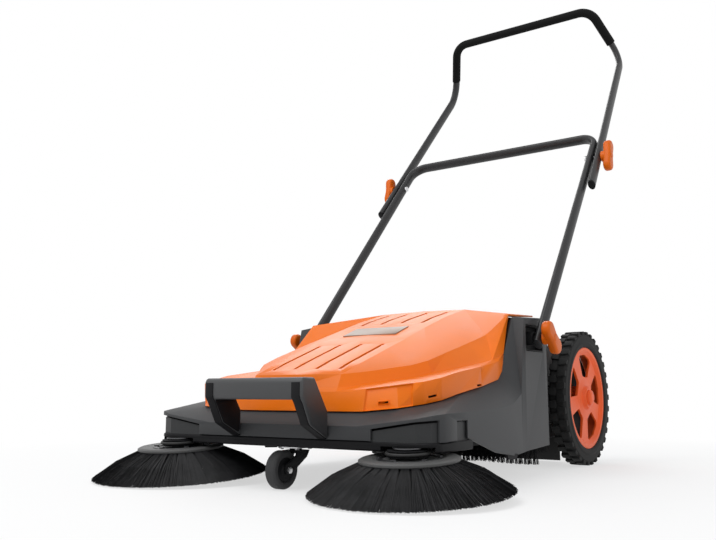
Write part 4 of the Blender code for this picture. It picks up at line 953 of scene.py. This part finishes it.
@dataclass
class SideBrush:
    """A side brush: tufted disc, clamp ring with its bolts, belt pulley and the spindle it runs on."""

    x: float = 0.2335
    y: float = -0.683
    tip_z: float = 0.0108
    tilt: float = math.radians(3.7)
    tip_radius: float = 0.150
    disc_radius: float = 0.0735
    disc_low: float = 0.043
    bore: float = 0.0063
    bolt_circle: float = 0.0435
    bolts: int = 6
    pulley_radius: float = 0.033
    pulley_low: float = 0.0503
    tuft_rows: tuple[tuple[int, float, float, float], ...] = (
        (34, 0.0685, 0.1495, 0.0150),
        (30, 0.0610, 0.1460, 0.0165),
        (26, 0.0530, 0.1330, 0.0175),
    )
    strands: int = 46
    strand_radius: float = 0.0007

    @property
    def axis(self) -> Vector:
        """The axis it turns about."""
        return Vector((0.0, -math.sin(self.tilt), math.cos(self.tilt)))

    def placing(self) -> Matrix:
        """The right brush's place, with height along its axis from the tips."""
        return standing_on(spot(self.x, self.y, self.tip_z), self.axis)

    def strand(self, chance: random.Random, root: float, tip: float, sway: float) -> bpy.types.Object:
        """One bristle, from the disc down and outwards to the floor.

        Args:
            chance: The source of its small differences.
            root: Its root's distance from the axis.
            tip: Its tip's distance.
            sway: How far to one side its tip is.

        Returns:
            The bristle.
        """
        root_point = Vector((root + chance.uniform(-0.0024, 0.0024), sway * 0.30, self.disc_low + 0.001))
        tip_point = Vector((tip - chance.uniform(0.0, 0.0035), sway, chance.uniform(0.0004, 0.0020)))
        knee = root_point.lerp(tip_point, 0.5) + Vector((0.002, 0.0, chance.uniform(0.002, 0.0042)))
        bpy.ops.mesh.primitive_circle_add(vertices=3, radius=self.strand_radius, location=root_point)
        bristle = bpy.context.object
        bpy.ops.object.transform_apply(location=True)
        bpy.ops.object.mode_set(mode="EDIT")
        bpy.ops.mesh.select_all(action="SELECT")
        for near, far in ((root_point, knee), (knee, tip_point)):
            bpy.ops.mesh.extrude_region_move(TRANSFORM_OT_translate={"value": far - near})
        bpy.ops.transform.resize(value=(0.85, 0.85, 0.85), center_override=tip_point)
        bpy.ops.mesh.edge_face_add()
        close_edit()
        return bristle

    def tuft(self, chance: random.Random, root: float, tip: float, spread: float) -> bpy.types.Object:
        """A bundle of bristles out of one hole.

        Args:
            chance: The source of the bristles' differences.
            root: The hole's distance from the axis.
            tip: The tips' distance.
            spread: How far the tips spread to each side.

        Returns:
            The tuft.
        """
        sways = [
            spread * (2 * (k + chance.uniform(0.1, 0.9)) / self.strands - 1) for k in range(self.strands)
        ]
        return face_outwards(joined([self.strand(chance, root, tip, sway) for sway in sways]))

    def bristles(self) -> bpy.types.Object:
        """The three rows of tufts, each copied round the disc from a few different ones.

        Returns:
            All the bristles, in place.
        """
        chance = random.Random(7)
        rows = []
        for count, root, tip, spread in self.tuft_rows:
            kinds = [self.tuft(chance, root, tip, spread) for _ in range(3)]
            for k in range(count):
                turn = Matrix.Rotation(math.tau * (k + chance.uniform(-0.05, 0.05)) / count, 4, "Z")
                rows.append(twin(kinds[k % 3], turn))
            discard(*kinds)
        skirt = joined(rows)
        skirt.data.transform(self.placing())
        return skirt

    def disc(self) -> bpy.types.Object:
        """The moulded disc that holds the tufts.

        Returns:
            The disc, its axis upright.
        """
        low, rim = self.disc_low, self.disc_low + 0.006
        bore, edge = self.bore, self.disc_radius
        profile = [
            (bore, low + 0.0067), (0.0145, low + 0.0067), (0.0165, low + 0.004),
            (0.050, low + 0.004), (0.054, rim), (edge - 0.004, rim), (edge, rim - 0.002),
            (edge, low + 0.001), (edge - 0.0015, low - 0.0006), (0.0145, low - 0.0006),
            (0.0145, low - 0.006), (bore, low - 0.006),
        ]
        return turned(profile, Vector(), Z_AXIS, 0.0008)

    def clamp(self) -> bpy.types.Object:
        """The steel ring with its six bolts.

        Returns:
            The ring and bolts, their axis upright.
        """
        seat = self.disc_low + 0.0043
        ring = self.bolt_circle
        section = [(ring - 0.0035, seat + 0.0012), (ring + 0.0035, seat + 0.0012)]
        section += [(ring + 0.0035, seat), (ring - 0.0035, seat)]
        shapes = [turned(section, Vector(), Z_AXIS, 0.0003)]
        bolt = hexagon_bolt(Vector((ring, 0.0, seat + 0.0011)), Z_AXIS, 0.0045, 0.0021)
        for k in range(self.bolts):
            shapes.append(twin(bolt, Matrix.Rotation(math.tau * (k + 0.5) / self.bolts, 4, "Z")))
        discard(bolt)
        return joined(shapes)

    def pulley(self) -> bpy.types.Object:
        """The grooved pulley on top of the disc.

        Returns:
            The pulley, its axis upright.
        """
        low, high = self.pulley_low, self.pulley_low + 2 * PULLEY_HALF
        edge = groove(self.pulley_radius, low)
        return turned([(self.bore, high), *edge, (self.bore, low)], Vector(), Z_AXIS, 0.0003)

    def spindle(self) -> bpy.types.Object:
        """The fixed pin with its flange under the beam and its end below the disc.

        Returns:
            The pin, its axis upright.
        """
        low = self.disc_low
        profile = [
            (0.0, 0.0680), (0.006, 0.0680), (0.006, 0.0634), (0.024, 0.0634), (0.024, 0.0612),
            (0.006, 0.0612), (0.006, low - 0.0063), (0.012, low - 0.0063), (0.012, low - 0.010),
            (0.0, low - 0.010),
        ]
        return turned(profile, Vector(), Z_AXIS, 0.0004, 64, closed=False)

    def build(self) -> None:
        """Model the right brush's pieces and settle them with their mirrored twins."""
        pieces = {
            "bristles": (self.bristles(), Finishes.BRISTLE, "side_brush_bristles"),
            "disc": (put(self.disc(), self.placing()), Finishes.DISC, "side_brush_disc"),
            "clamp": (put(self.clamp(), self.placing()), Finishes.DARK_STEEL, "side_brush_clamp"),
            "pulley": (put(self.pulley(), self.placing()), Finishes.BLACK, "side_brush_pulley"),
            "spindle": (put(self.spindle(), self.placing()), Finishes.DARK_STEEL, "brush_spindle"),
        }
        for word, (piece, finish, node) in pieces.items():
            other = mirrored(piece)
            settle(piece, f"side_brush_{word}_of_right", finish, f"{node}_right")
            settle(other, f"side_brush_{word}_of_left", finish, f"{node}_left")


@dataclass
class Caster:
    """The front caster: bolted plate, swivelling fork, wheel and its axle bolt."""

    y: float = -0.655
    trail: float = 0.035
    radius: float = 0.030
    width: float = 0.022
    fork_gap: float = 0.0015
    fork_wall: float = 0.003
    plate_radius: float = 0.029
    plate_thickness: float = 0.003
    bolt_circle: float = 0.023

    def build(self) -> None:
        """Model and settle the caster's pieces."""
        hub = spot(0.0, self.y - self.trail, self.radius)
        half = self.width / 2
        tread = both_ways(
            [(0.019, half - 0.001), (self.radius - 0.003, half), (self.radius, half - 0.004)]
        )
        settle(turned(tread, hub, X_AXIS, 0.0035), "caster_tread", Finishes.CASTER, "caster_tyre")
        core = both_ways(
            [(0.0033, half), (0.008, half), (0.010, half - 0.003), (0.0187, half - 0.0025)]
        )
        settle(turned(core, hub, X_AXIS, 0.0008), "caster_wheel_core", Finishes.BLACK, "caster_hub")
        fit("caster_fork", "caster_swivel_fork", Finishes.BLACK, 0.0009, 3)
        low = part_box("caster_plate")[1].z - self.plate_thickness
        high, edge = low + self.plate_thickness, self.plate_radius
        plate = [(0.0, high), (edge, high), (edge, low), (0.0, low)]
        shapes = [turned(plate, spot(0.0, self.y, 0.0), Z_AXIS, 0.0006, closed=False)]
        for k in range(4):
            x, y = swung((self.bolt_circle, 0.0), math.radians(45 + 90 * k))
            shapes.append(hexagon_bolt(spot(x, self.y + y, low + 0.0001), -Z_AXIS, 0.0038, 0.0026))
        settle(joined(shapes), "caster_top_plate", Finishes.STEEL, "caster_plate")
        reach = half + self.fork_gap + self.fork_wall + 0.0003
        shank = both_ways([(0.0, reach), (0.003, reach)])
        shapes = [turned(shank, hub, X_AXIS, 0.0002, 32, closed=False)]
        for side in Side:
            shapes.append(hexagon_bolt(hub + side.outward * reach, side.outward, 0.0055, 0.003))
        settle(joined(shapes), "caster_axle_bolt", Finishes.STEEL, "caster_bolt")


@dataclass
class RearWheel:
    """A rear wheel: lugged tyre, five-spoke rim, belt pulley and hub cap."""

    radius: float = AXLE_Z
    width: float = 0.038
    face_x: float = 0.263
    rim_radius: float = 0.106
    lugs: int = 34
    spokes: int = 5
    phase: float = math.radians(48)
    window_spread: float = math.radians(23)
    web_back: float = 0.0055
    bore: float = 0.0083
    boss_radius: float = 0.018
    # A black disc behind the spokes, painted shade that darkens the rim's windows.
    dust_radius: float = 0.0992
    dust_thickness: float = 0.0015
    cap_radius: float = 0.0165
    cap_back: float = 0.2658
    pulley_x: float = 0.2210
    pulley_radius: float = 0.045

    @property
    def centre_x(self) -> float:
        """The wheel's middle plane."""
        return self.face_x - self.width / 2

    def tyre(self) -> bpy.types.Object:
        """The tyre's body with two rows of staggered lugs.

        Returns:
            The tyre, its axis upright.
        """
        half, ground, rim = self.width / 2, self.radius, self.rim_radius
        side = [
            (rim, half - 0.0025), (rim + 0.004, half - 0.0005), (rim + 0.010, half),
            (rim + 0.014, half - 0.0012), (ground - 0.009, half - 0.0012),
            (ground - 0.0042, half - 0.006),
        ]
        shapes = [turned(both_ways(side), Vector(), Z_AXIS, 0.002, 120)]
        outline = [(-0.0082, 0.0008), (0.0088, 0.0008), (0.0062, 0.0172), (-0.0056, 0.0172)]
        block = slab(rounded(outline, 0.0015), ground - 0.0075, ground - 0.0002)
        lug = face_outwards(bevelled(block, 0.0008, 2))
        quarter = math.radians(90)
        lug.data.transform(Matrix.Rotation(quarter, 4, "Y") @ Matrix.Rotation(quarter, 4, "Z"))
        for k in range(2 * self.lugs):
            turn = Matrix.Rotation(math.tau * k / (2 * self.lugs), 4, "Z")
            half_turn = Matrix.Rotation(math.pi, 4, "X") if k % 2 else Matrix.Identity(4)
            shapes.append(twin(lug, turn @ half_turn))
        discard(lug)
        return joined(shapes)

    def rim(self) -> bpy.types.Object:
        """The rim with five windows between its spokes.

        Returns:
            The rim, its axis upright.
        """
        half, edge = self.width / 2, self.rim_radius - 0.0003
        profile = [
            (self.bore, half + 0.001), (0.0215, half + 0.001), (0.0255, half - 0.006),
            (0.040, half - 0.0082), (0.091, half - 0.009), (edge - 0.0075, half - 0.003),
            (edge, half - 0.003), (edge, 0.003 - half), (edge - 0.006, 0.003 - half),
            (0.096, self.web_back), (0.024, self.web_back), (0.024, 0.004 - half),
            (self.bore, 0.004 - half),
        ]
        shape = turned(profile, Vector(), Z_AXIS, 0.0015, 120)
        cutters = []
        spread = self.window_spread
        corners = [
            (0.0460, -0.84 * spread), (0.043, 0.0), (0.0460, 0.84 * spread), (0.0860, spread),
            (0.0905, 0.8 * spread), (0.0915, 0.0), (0.0905, -0.8 * spread), (0.0860, -spread),
        ]
        for k in range(self.spokes):
            middle = self.phase + math.tau * (k + 0.5) / self.spokes
            outline = [(r * math.cos(middle + t), r * math.sin(middle + t)) for r, t in corners]
            cutters.append(slab(rounded(outline, 0.008, 4), -0.03, 0.03))
        return bevelled(carved(shape, cutters), 0.0011, 2, 50)

    def pulley(self) -> bpy.types.Object:
        """The grooved pulley between the rim and the cheek, with a black disc behind the spokes as
        painted shade in the rim's windows.

        Returns:
            The pulley, its axis upright and its heights from the sweeper's middle.
        """
        low = self.pulley_x - PULLEY_HALF
        end = self.centre_x + 0.004 - self.width / 2 - 0.0003
        back = end - self.dust_thickness
        # The black disc at the back of the pulley is painted shade for the rim's windows.
        profile = [
            (self.bore, end), (self.dust_radius, end), (self.dust_radius, back), (self.boss_radius, back),
            (self.boss_radius, low + 2 * PULLEY_HALF), *groove(self.pulley_radius, low), (self.bore, low),
        ]
        return turned(profile, Vector(), Z_AXIS, 0.0003)

    def hub_cap(self) -> bpy.types.Object:
        """The domed cap on the axle's end.

        Returns:
            The cap, its axis upright and its heights from the sweeper's middle.
        """
        face = self.face_x + 0.001
        profile = [
            (0.0, face + 0.008), (0.0085, face + 0.0078), (0.0150, face + 0.005),
            (self.cap_radius, face + 0.001), (self.cap_radius, face + 0.0003),
            (self.bore, face + 0.0003), (self.bore, self.cap_back), (0.0, self.cap_back),
        ]
        return turned(profile, Vector(), Z_AXIS, 0.0012, 64, closed=False)

    def build(self) -> None:
        """Model the wheel's pieces once and settle them on both sides."""
        pieces = [
            (self.tyre(), Finishes.TYRE, "tyre", self.centre_x),
            (self.rim(), Finishes.RIM, "rim", self.centre_x),
            (self.pulley(), Finishes.BLACK, "wheel_pulley", 0.0),
            (self.hub_cap(), Finishes.RIM, "hub_cap", 0.0),
        ]
        for piece, finish, node, x in pieces:
            for side in Side:
                out = Matrix.Translation((0.0, 0.0, x))
                turn = sideways(side, spot(0.0, 0.0, self.radius))
                copy = twin(piece, turn @ out, flip=side is Side.LEFT)
                settle(copy, f"rear_{node}_of_{side.word}", finish, f"{node}_{side.word}")
            discard(piece)


@dataclass
class RollerBrush:
    """The main brush: core, spiral rows of tufts, pinion and bearings, and the fixed axle's bushes."""

    y: float = -0.1042
    z: float = 0.0775
    half_length: float = 0.188
    core_radius: float = 0.022
    tip_radius: float = 0.0750
    rows: int = 8
    tufts_in_row: int = 64
    strands: int = 12
    shaft_radius: float = 0.008
    cheek_x: float = 0.2072
    shaft_end: float = 0.2148
    axle_end: float = 0.2655
    bore: float = 0.0083
    bearing_radius: float = 0.016
    bush_radius: float = 0.014
    ring_width: float = 0.0072

    def tuft(self, chance: random.Random) -> bpy.types.Object:
        """A bundle of straight bristles that stands on the core.

        Args:
            chance: The source of the bristles' differences.

        Returns:
            The tuft.
        """
        strands = []
        for _ in range(self.strands):
            along, across = chance.uniform(-0.002, 0.002), chance.uniform(-0.002, 0.002)
            root = Vector((along, across, self.core_radius - 0.001))
            lean = Vector((chance.uniform(-0.006, 0.006), chance.uniform(-0.006, 0.006), 0.0))
            height = self.tip_radius - self.core_radius - chance.uniform(0.0008, 0.003)
            bpy.ops.object.select_all(action="DESELECT")
            bpy.ops.mesh.primitive_circle_add(vertices=3, radius=0.0006, location=root)
            strand = bpy.context.object
            bpy.ops.object.transform_apply(location=True)
            bpy.ops.object.mode_set(mode="EDIT")
            bpy.ops.mesh.extrude_region_move(TRANSFORM_OT_translate={"value": lean + Z_AXIS * height})
            bpy.ops.mesh.edge_face_add()
            close_edit()
            strands.append(strand)
        return joined(strands)

    def build(self) -> None:
        """Model and settle the roller's pieces."""
        chance = random.Random(11)
        kinds = [self.tuft(chance) for _ in range(3)]
        centre = spot(0.0, self.y, self.z)
        along = Matrix.Translation(centre) @ Matrix.Rotation(math.radians(90), 4, "X")
        copies = []
        for row in range(self.rows):
            for k in range(self.tufts_in_row):
                x = self.half_length * (2 * (k + 0.5) / self.tufts_in_row - 1) * 0.985
                angle = math.tau * row / self.rows + math.radians(50) * abs(x) / self.half_length
                turn = Matrix.Translation((x, 0.0, 0.0)) @ Matrix.Rotation(angle, 4, "X")
                copies.append(twin(kinds[(row + k) % 3], along @ turn))
        discard(*kinds)
        settle(face_outwards(joined(copies)), "roller_tufts", Finishes.BRISTLE, "roller_bristles")
        half, core, shaft = self.half_length, self.core_radius, self.shaft_radius
        flange, end = core + 0.006, -self.shaft_end
        profile = [
            (0.0, self.cheek_x), (shaft, self.cheek_x), (shaft, half + 0.004), (flange, half + 0.004),
            (flange, half), (core, half), (core, -half), (flange, -half),
            (flange, -half - 0.004), (shaft, -half - 0.004), (shaft, end), (0.0, end),
        ]
        body = turned(profile, centre, X_AXIS, 0.0008, 64, closed=False)
        settle(body, "roller_body", Finishes.KNOB, "roller_core")
        fit("roller_pinion", "roller_drive_pinion", Finishes.STEEL, 0.0004)
        fit("wheel_gear", "wheel_drive_gear", Finishes.BLACK, 0.0004)
        axle = spot(0.0, 0.0, AXLE_Z)
        face, back = self.cheek_x, self.cheek_x - self.ring_width
        for side in Side:
            for word, place, edge, finish in (
                ("roller_bearing", centre, self.bearing_radius, Finishes.STEEL),
                ("axle_bush", axle, self.bush_radius, Finishes.BRASS),
            ):
                section = [(self.bore, face), (edge, face), (edge, back), (self.bore, back)]
                ring = turned(section, place, side.outward, 0.0006, 48)
                settle(ring, f"{word}_ring_of_{side.word}", finish, f"{word}_{side.word}")
        section = both_ways([(0.0, self.axle_end), (shaft, self.axle_end)])
        bar = turned(section, axle, X_AXIS, 0.001, 48, closed=False)
        settle(bar, "fixed_axle", Finishes.STEEL, "axle")


@dataclass
class BeltDrive:
    """The two round belts and the bar with the pins that lead them."""

    def build(self) -> None:
        """Model and settle the belts and their guide."""
        for side in Side:
            belt = refined(f"belt_{side.word}", 0.0)
            edit(belt)
            bpy.ops.mesh.tris_convert_to_quads()
            close_edit()
            apply_modifier(belt, "SUBSURF", levels=2, render_levels=2)
            settle(belt, f"drive_belt_{side.word}", Finishes.RUBBER, f"belt_{side.word}")
        fit("belt_guide", "belt_guide_bar", Finishes.STEEL, 0.0006)


@dataclass
class PushHandle:
    """The folding handle: two bent oval tubes, the foam grip, the end plugs, bolts and knobs."""

    lean: float = math.radians(41)
    pivot_y: float = -0.279
    pivot_z: float = 0.250
    half_width: float = 0.008
    half_depth: float = 0.0125
    leg_x: float = 0.2700
    crossbar_x: float = 0.2530
    crossbar_reach: float = 0.6725
    tail: float = 0.016
    crossbar_corner: float = 0.038
    upper_start: float = 0.476
    clamp_reach: float = 0.583
    upper_leg_x: float = 0.2738
    bend_reach: float = 1.0547
    bend_x: float = 0.2511
    grip_lean: float = math.radians(-36.5)
    grip_rise: float = 0.148
    grip_corner_x: float = 0.200
    bend_radius: float = 0.060
    grip_radius: float = 0.045
    grip_wall: float = 0.0027
    plug_length: float = 0.0033
    plug_inset: float = 0.0002
    knob_half: float = 0.037
    knob_lobe: float = 0.0152
    knob_waist: float = 0.0118
    knob_thickness: float = 0.017
    knob_bevel: float = 0.0052
    lower_knob_turn: float = math.radians(-41)
    upper_knob_turn: float = math.radians(80)

    @property
    def along_leg(self) -> Vector:
        """The way up the legs."""
        return Vector((0.0, math.sin(self.lean), math.cos(self.lean)))

    @property
    def along_grip(self) -> Vector:
        """The way from the bend to the grip."""
        return Vector((0.0, math.sin(self.grip_lean), math.cos(self.grip_lean)))

    def on_leg(self, x: float, reach: float) -> Vector:
        """A point of the handle's plane by its distance from the pivot."""
        return spot(x, self.pivot_y, self.pivot_z) + self.along_leg * reach

    def bent_tube(
        self, corners: Sequence[Vector], radii: Sequence[float], width: float, depth: float, pitch: Vector
    ) -> bpy.types.Object:
        """Bend an oval tube as a pipe bender does: straights are pulled, bends are spun.

        Args:
            corners: The route's corners with its two ends.
            radii: The bend's radius at each inner corner.
            width: Half the oval's narrow size, in the plane of the bends.
            depth: Half its broad size.
            pitch: The way up the handle at the start.

        Returns:
            The closed tube.
        """
        tangent = (corners[1] - corners[0]).normalized()
        broad = X_AXIS.cross(pitch)
        broad = (broad - broad.dot(tangent) * tangent).normalized()
        narrow = tangent.cross(broad)
        bpy.ops.object.select_all(action="DESELECT")
        bpy.ops.mesh.primitive_circle_add(vertices=28, radius=1.0)
        tube = bpy.context.object
        oval = Matrix((narrow * width, broad * depth, tangent)).transposed().to_4x4()
        put(tube, Matrix.Translation(corners[0]) @ oval)
        edit(tube)
        place = corners[0]
        for i in range(1, len(corners) - 1):
            back = (corners[i - 1] - corners[i]).normalized()
            ahead = (corners[i + 1] - corners[i]).normalized()
            half, radius = back.angle(ahead) / 2, radii[i - 1]
            start = corners[i] + back * (radius / math.tan(half))
            centre = corners[i] + (back + ahead).normalized() * (radius / math.sin(half))
            bpy.ops.mesh.extrude_region_move(TRANSFORM_OT_translate={"value": start - place})
            bpy.ops.mesh.spin(
                steps=12, angle=math.pi - 2 * half, center=centre, axis=ahead.cross(-back).normalized()
            )
            place = corners[i] + ahead * (radius / math.tan(half))
        bpy.ops.mesh.extrude_region_move(TRANSFORM_OT_translate={"value": corners[-1] - place})
        bpy.ops.mesh.select_all(action="SELECT")
        bpy.ops.mesh.fill_holes(sides=0)
        bpy.ops.mesh.select_all(action="SELECT")
        bpy.ops.mesh.normals_make_consistent(inside=False)
        close_edit()
        return tube

    def tubes(self) -> None:
        """The lower and the upper frame, and the grip."""
        slope = (self.crossbar_x - self.leg_x) / self.crossbar_reach
        tail_x = self.leg_x - slope * self.tail
        right = [self.on_leg(tail_x, -self.tail), self.on_leg(self.crossbar_x, self.crossbar_reach)]
        flip = Vector((-1.0, 1.0, 1.0))
        corners = right + [point * flip for point in reversed(right)]
        oval = (self.half_width, self.half_depth)
        lower = self.bent_tube(corners, [self.crossbar_corner] * 2, *oval, self.along_leg)
        settle(bevelled(lower, 0.0008, 2, 60), "lower_frame_tube", Finishes.TUBE, "lower_handle")
        slope = (self.bend_x - self.upper_leg_x) / (self.bend_reach - self.clamp_reach)
        start_x = self.upper_leg_x + slope * (self.upper_start - self.clamp_reach)
        bend = self.on_leg(self.bend_x, self.bend_reach)
        top = Vector((self.grip_corner_x, bend.y, bend.z)) + self.along_grip * self.grip_rise
        right = [self.on_leg(start_x, self.upper_start), bend, top]
        corners = right + [point * flip for point in reversed(right)]
        radii = [self.bend_radius, self.grip_radius, self.grip_radius, self.bend_radius]
        upper = self.bent_tube(corners, radii, *oval, self.along_leg)
        settle(upper, "upper_frame_tube", Finishes.TUBE, "upper_handle")
        back, ahead = (corners[0] - bend).normalized(), (top - bend).normalized()
        bend_end = bend + ahead * (self.bend_radius / math.tan(back.angle(ahead) / 2) + 0.002)
        route = [bend_end, top, top * flip, bend_end * flip]
        wall = self.grip_wall + 0.0003
        size = (self.half_width + wall, self.half_depth + wall)
        grip = self.bent_tube(route, [self.grip_radius] * 2, *size, self.along_grip)
        settle(bevelled(grip, 0.0018, 3, 60), "foam_grip", Finishes.FOAM, "grip")
        for side in Side:
            end = corners[0] if side is Side.RIGHT else corners[-1]
            toward = corners[1] if side is Side.RIGHT else corners[-2]
            along = (toward - end).normalized()
            inset = end - along * self.plug_inset
            head = [inset - along * self.plug_length, inset]
            plug = bevelled(self.bent_tube(head, [], *oval, self.along_leg), 0.0012, 3, 60)
            settle(plug, f"tube_plug_{side.word}", Finishes.BLACK, f"upper_plug_{side.word}")

    def knob(self, side: Side, centre: Vector, face_x: float, turn: float) -> bpy.types.Object:
        """A wing knob on its boss, with a round cap over the bolt's end.

        Args:
            side: The side it is on.
            centre: A point of its axis.
            face_x: How far the face that it presses on is from the middle.
            turn: The angle that its wings stand at.

        Returns:
            The knob.
        """
        lobe = self.knob_lobe
        outline = []
        for end, waist in ((0.0, self.knob_waist), (math.pi, -self.knob_waist)):
            for k in range(9):
                angle = math.radians(-90 + 22.5 * k)
                along = self.knob_half - lobe + lobe * math.cos(angle)
                outline.append(swung((along, lobe * math.sin(angle)), end))
            outline.append((0.0, waist))
        placed = [swung(point, turn) for point in outline]
        foot, base = face_x + 0.0008, face_x + 0.007
        top = base + self.knob_thickness
        middle = Vector((0.0, centre.y, centre.z))
        wings = slab(placed, base, top, sideways(side, middle))
        if side is Side.LEFT:
            face_outwards(wings)
        bevelled(wings, self.knob_bevel, 5, 40)
        section = [(0.0045, foot), (0.0125, foot), (0.0125, base + 0.004), (0.0045, base + 0.004)]
        boss = turned(section, middle, side.outward, 0.0006, 64)
        section = [(0.0, top + 0.0012), (0.0068, top + 0.0010), (0.0082, top - 0.002), (0.0, top - 0.002)]
        cap = turned(section, middle, side.outward, 0.0006, 48, closed=False)
        return joined([wings, boss, cap])

    def fittings(self) -> None:
        """The knobs, and the bolts and spacers that they clamp."""
        pivot, clamp = spot(0.0, self.pivot_y, self.pivot_z), self.on_leg(0.0, self.clamp_reach)
        for side in Side:
            lower = self.knob(side, pivot, self.leg_x + self.half_width, self.lower_knob_turn)
            settle(lower, f"pivot_knob_{side.word}", Finishes.KNOB, f"lower_knob_{side.word}")
            upper = self.knob(side, clamp, self.upper_leg_x + self.half_width, self.upper_knob_turn)
            settle(upper, f"clamp_knob_{side.word}", Finishes.KNOB, f"upper_knob_{side.word}")
            steel, black = Finishes.STEEL, Finishes.BLACK
            for node, finish in (("pivot_bolt", steel), ("clamp_bolt", steel), ("clamp_spacer", black)):
                fit(f"{node}_{side.word}", f"{node}_part_{side.word}", finish, 0.0003)

    def build(self) -> None:
        """Model and settle the whole handle."""
        self.tubes()
        self.fittings()


@dataclass
class Studio:
    """A pale floor, a white surround, soft lamps and the camera at the photograph's angle."""

    eye: tuple[float, float, float] = (0.839, -1.687, 0.150)
    azimuth: float = 34.76
    pitch: float = 8.73
    focal_pixels: float = 800.0
    image_pixels: float = 716.0
    sensor: float = 36.0
    floor_glow: float = 0.60
    glow_from: float = 0.45
    glow_to: float = 1.35
    sky: float = 0.50
    aim: tuple[float, float, float] = (0.0, 0.0, 0.3)
    lamps: tuple[tuple[str, tuple[float, float, float], float, float], ...] = (
        ("key_lamp", (-0.6, -2.2, 3.0), 2.4, 62.0),
        ("side_lamp", (2.8, -0.9, 1.6), 1.8, 11.0),
        ("back_lamp", (-1.8, 2.3, 2.5), 2.0, 30.0),
    )

    def floor(self) -> None:
        """A wide floor that takes the shadow near the sweeper and is plain white far off."""
        bpy.ops.object.select_all(action="DESELECT")
        bpy.ops.mesh.primitive_circle_add(vertices=96, radius=30.0, fill_type="NGON")
        ground = bpy.context.object
        ground.name = "floor"
        graph = Graph(bpy.data.materials.new("studio_floor"))
        graph.feed("Base Color", (0.90, 0.90, 0.90, 1.0))
        graph.feed("Roughness", 0.75)
        far = graph.node("ShaderNodeVectorMath", {"operation": "LENGTH"}, graph.place(), out=1)
        glow = (self.glow_from, self.glow_to, self.floor_glow, 1.0)
        share = graph.node("ShaderNodeMapRange", {"clamp": True}, far, *glow)
        white = graph.node("ShaderNodeEmission", {}, (1.0, 1.0, 1.0, 1.0), 1.0)
        graph.blend(share * graph.direct(), white)
        ground.data.materials.append(graph.owner)

    def lamp(self, name: str, place: tuple[float, float, float], size: float, watts: float) -> None:
        """A square soft lamp that points at the sweeper's middle.

        Args:
            name: Its name.
            place: Where it hangs.
            size: The length of its sides.
            watts: Its power.
        """
        bpy.ops.object.light_add(type="AREA", location=place)
        lamp = bpy.context.object
        lamp.name = name
        lamp.data.size = size
        lamp.data.energy = watts
        ahead = Vector(self.aim) - Vector(place)
        lamp.rotation_euler = ahead.to_track_quat("-Z", "Y").to_euler()

    def surround(self) -> None:
        """White all round for the eye and for reflections, and a dimmer sky that lights the sweeper."""
        world = bpy.data.worlds.new("surround")
        bpy.context.scene.world = world
        graph = Graph(world, "Background")
        graph.feed("Color", (0.95, 0.97, 1.0, 1.0))
        graph.feed("Strength", self.sky)
        white = graph.node("ShaderNodeBackground", {}, (1.0, 1.0, 1.0, 1.0), 1.0)
        graph.blend(graph.direct(), white)

    def camera(self) -> None:
        """The camera where the photograph was taken from."""
        bpy.ops.object.camera_add(location=spot(*self.eye))
        camera = bpy.context.object
        camera.rotation_euler = (math.radians(90 + self.pitch), 0.0, math.radians(self.azimuth))
        camera.data.sensor_width = self.sensor
        camera.data.lens = self.focal_pixels * self.sensor / self.image_pixels
        camera.data.clip_start = 0.05
        bpy.context.scene.camera = camera

    def build(self) -> None:
        """Set up the floor, lamps, surround and camera."""
        bpy.context.scene.view_settings.view_transform = "Standard"
        self.floor()
        self.surround()
        for lamp in self.lamps:
            self.lamp(*lamp)
        self.camera()


def main() -> None:
    """Build the sweeper's sub-assemblies in order."""
    builders: list[tuple[str, Callable[[], None]]] = [
        ("studio", Studio().build),
        ("housing", Housing().build),
        ("hopper", Hopper().build),
        ("carry handle", CarryHandle().build),
        ("side brushes", SideBrush().build),
        ("caster", Caster().build),
        ("rear wheels", RearWheel().build),
        ("roller", RollerBrush().build),
        ("belts", BeltDrive().build),
        ("push handle", PushHandle().build),
    ]
    for name, build in builders:
        log.info("building the %s", name)
        build()


if __name__ == "__main__":
    main()
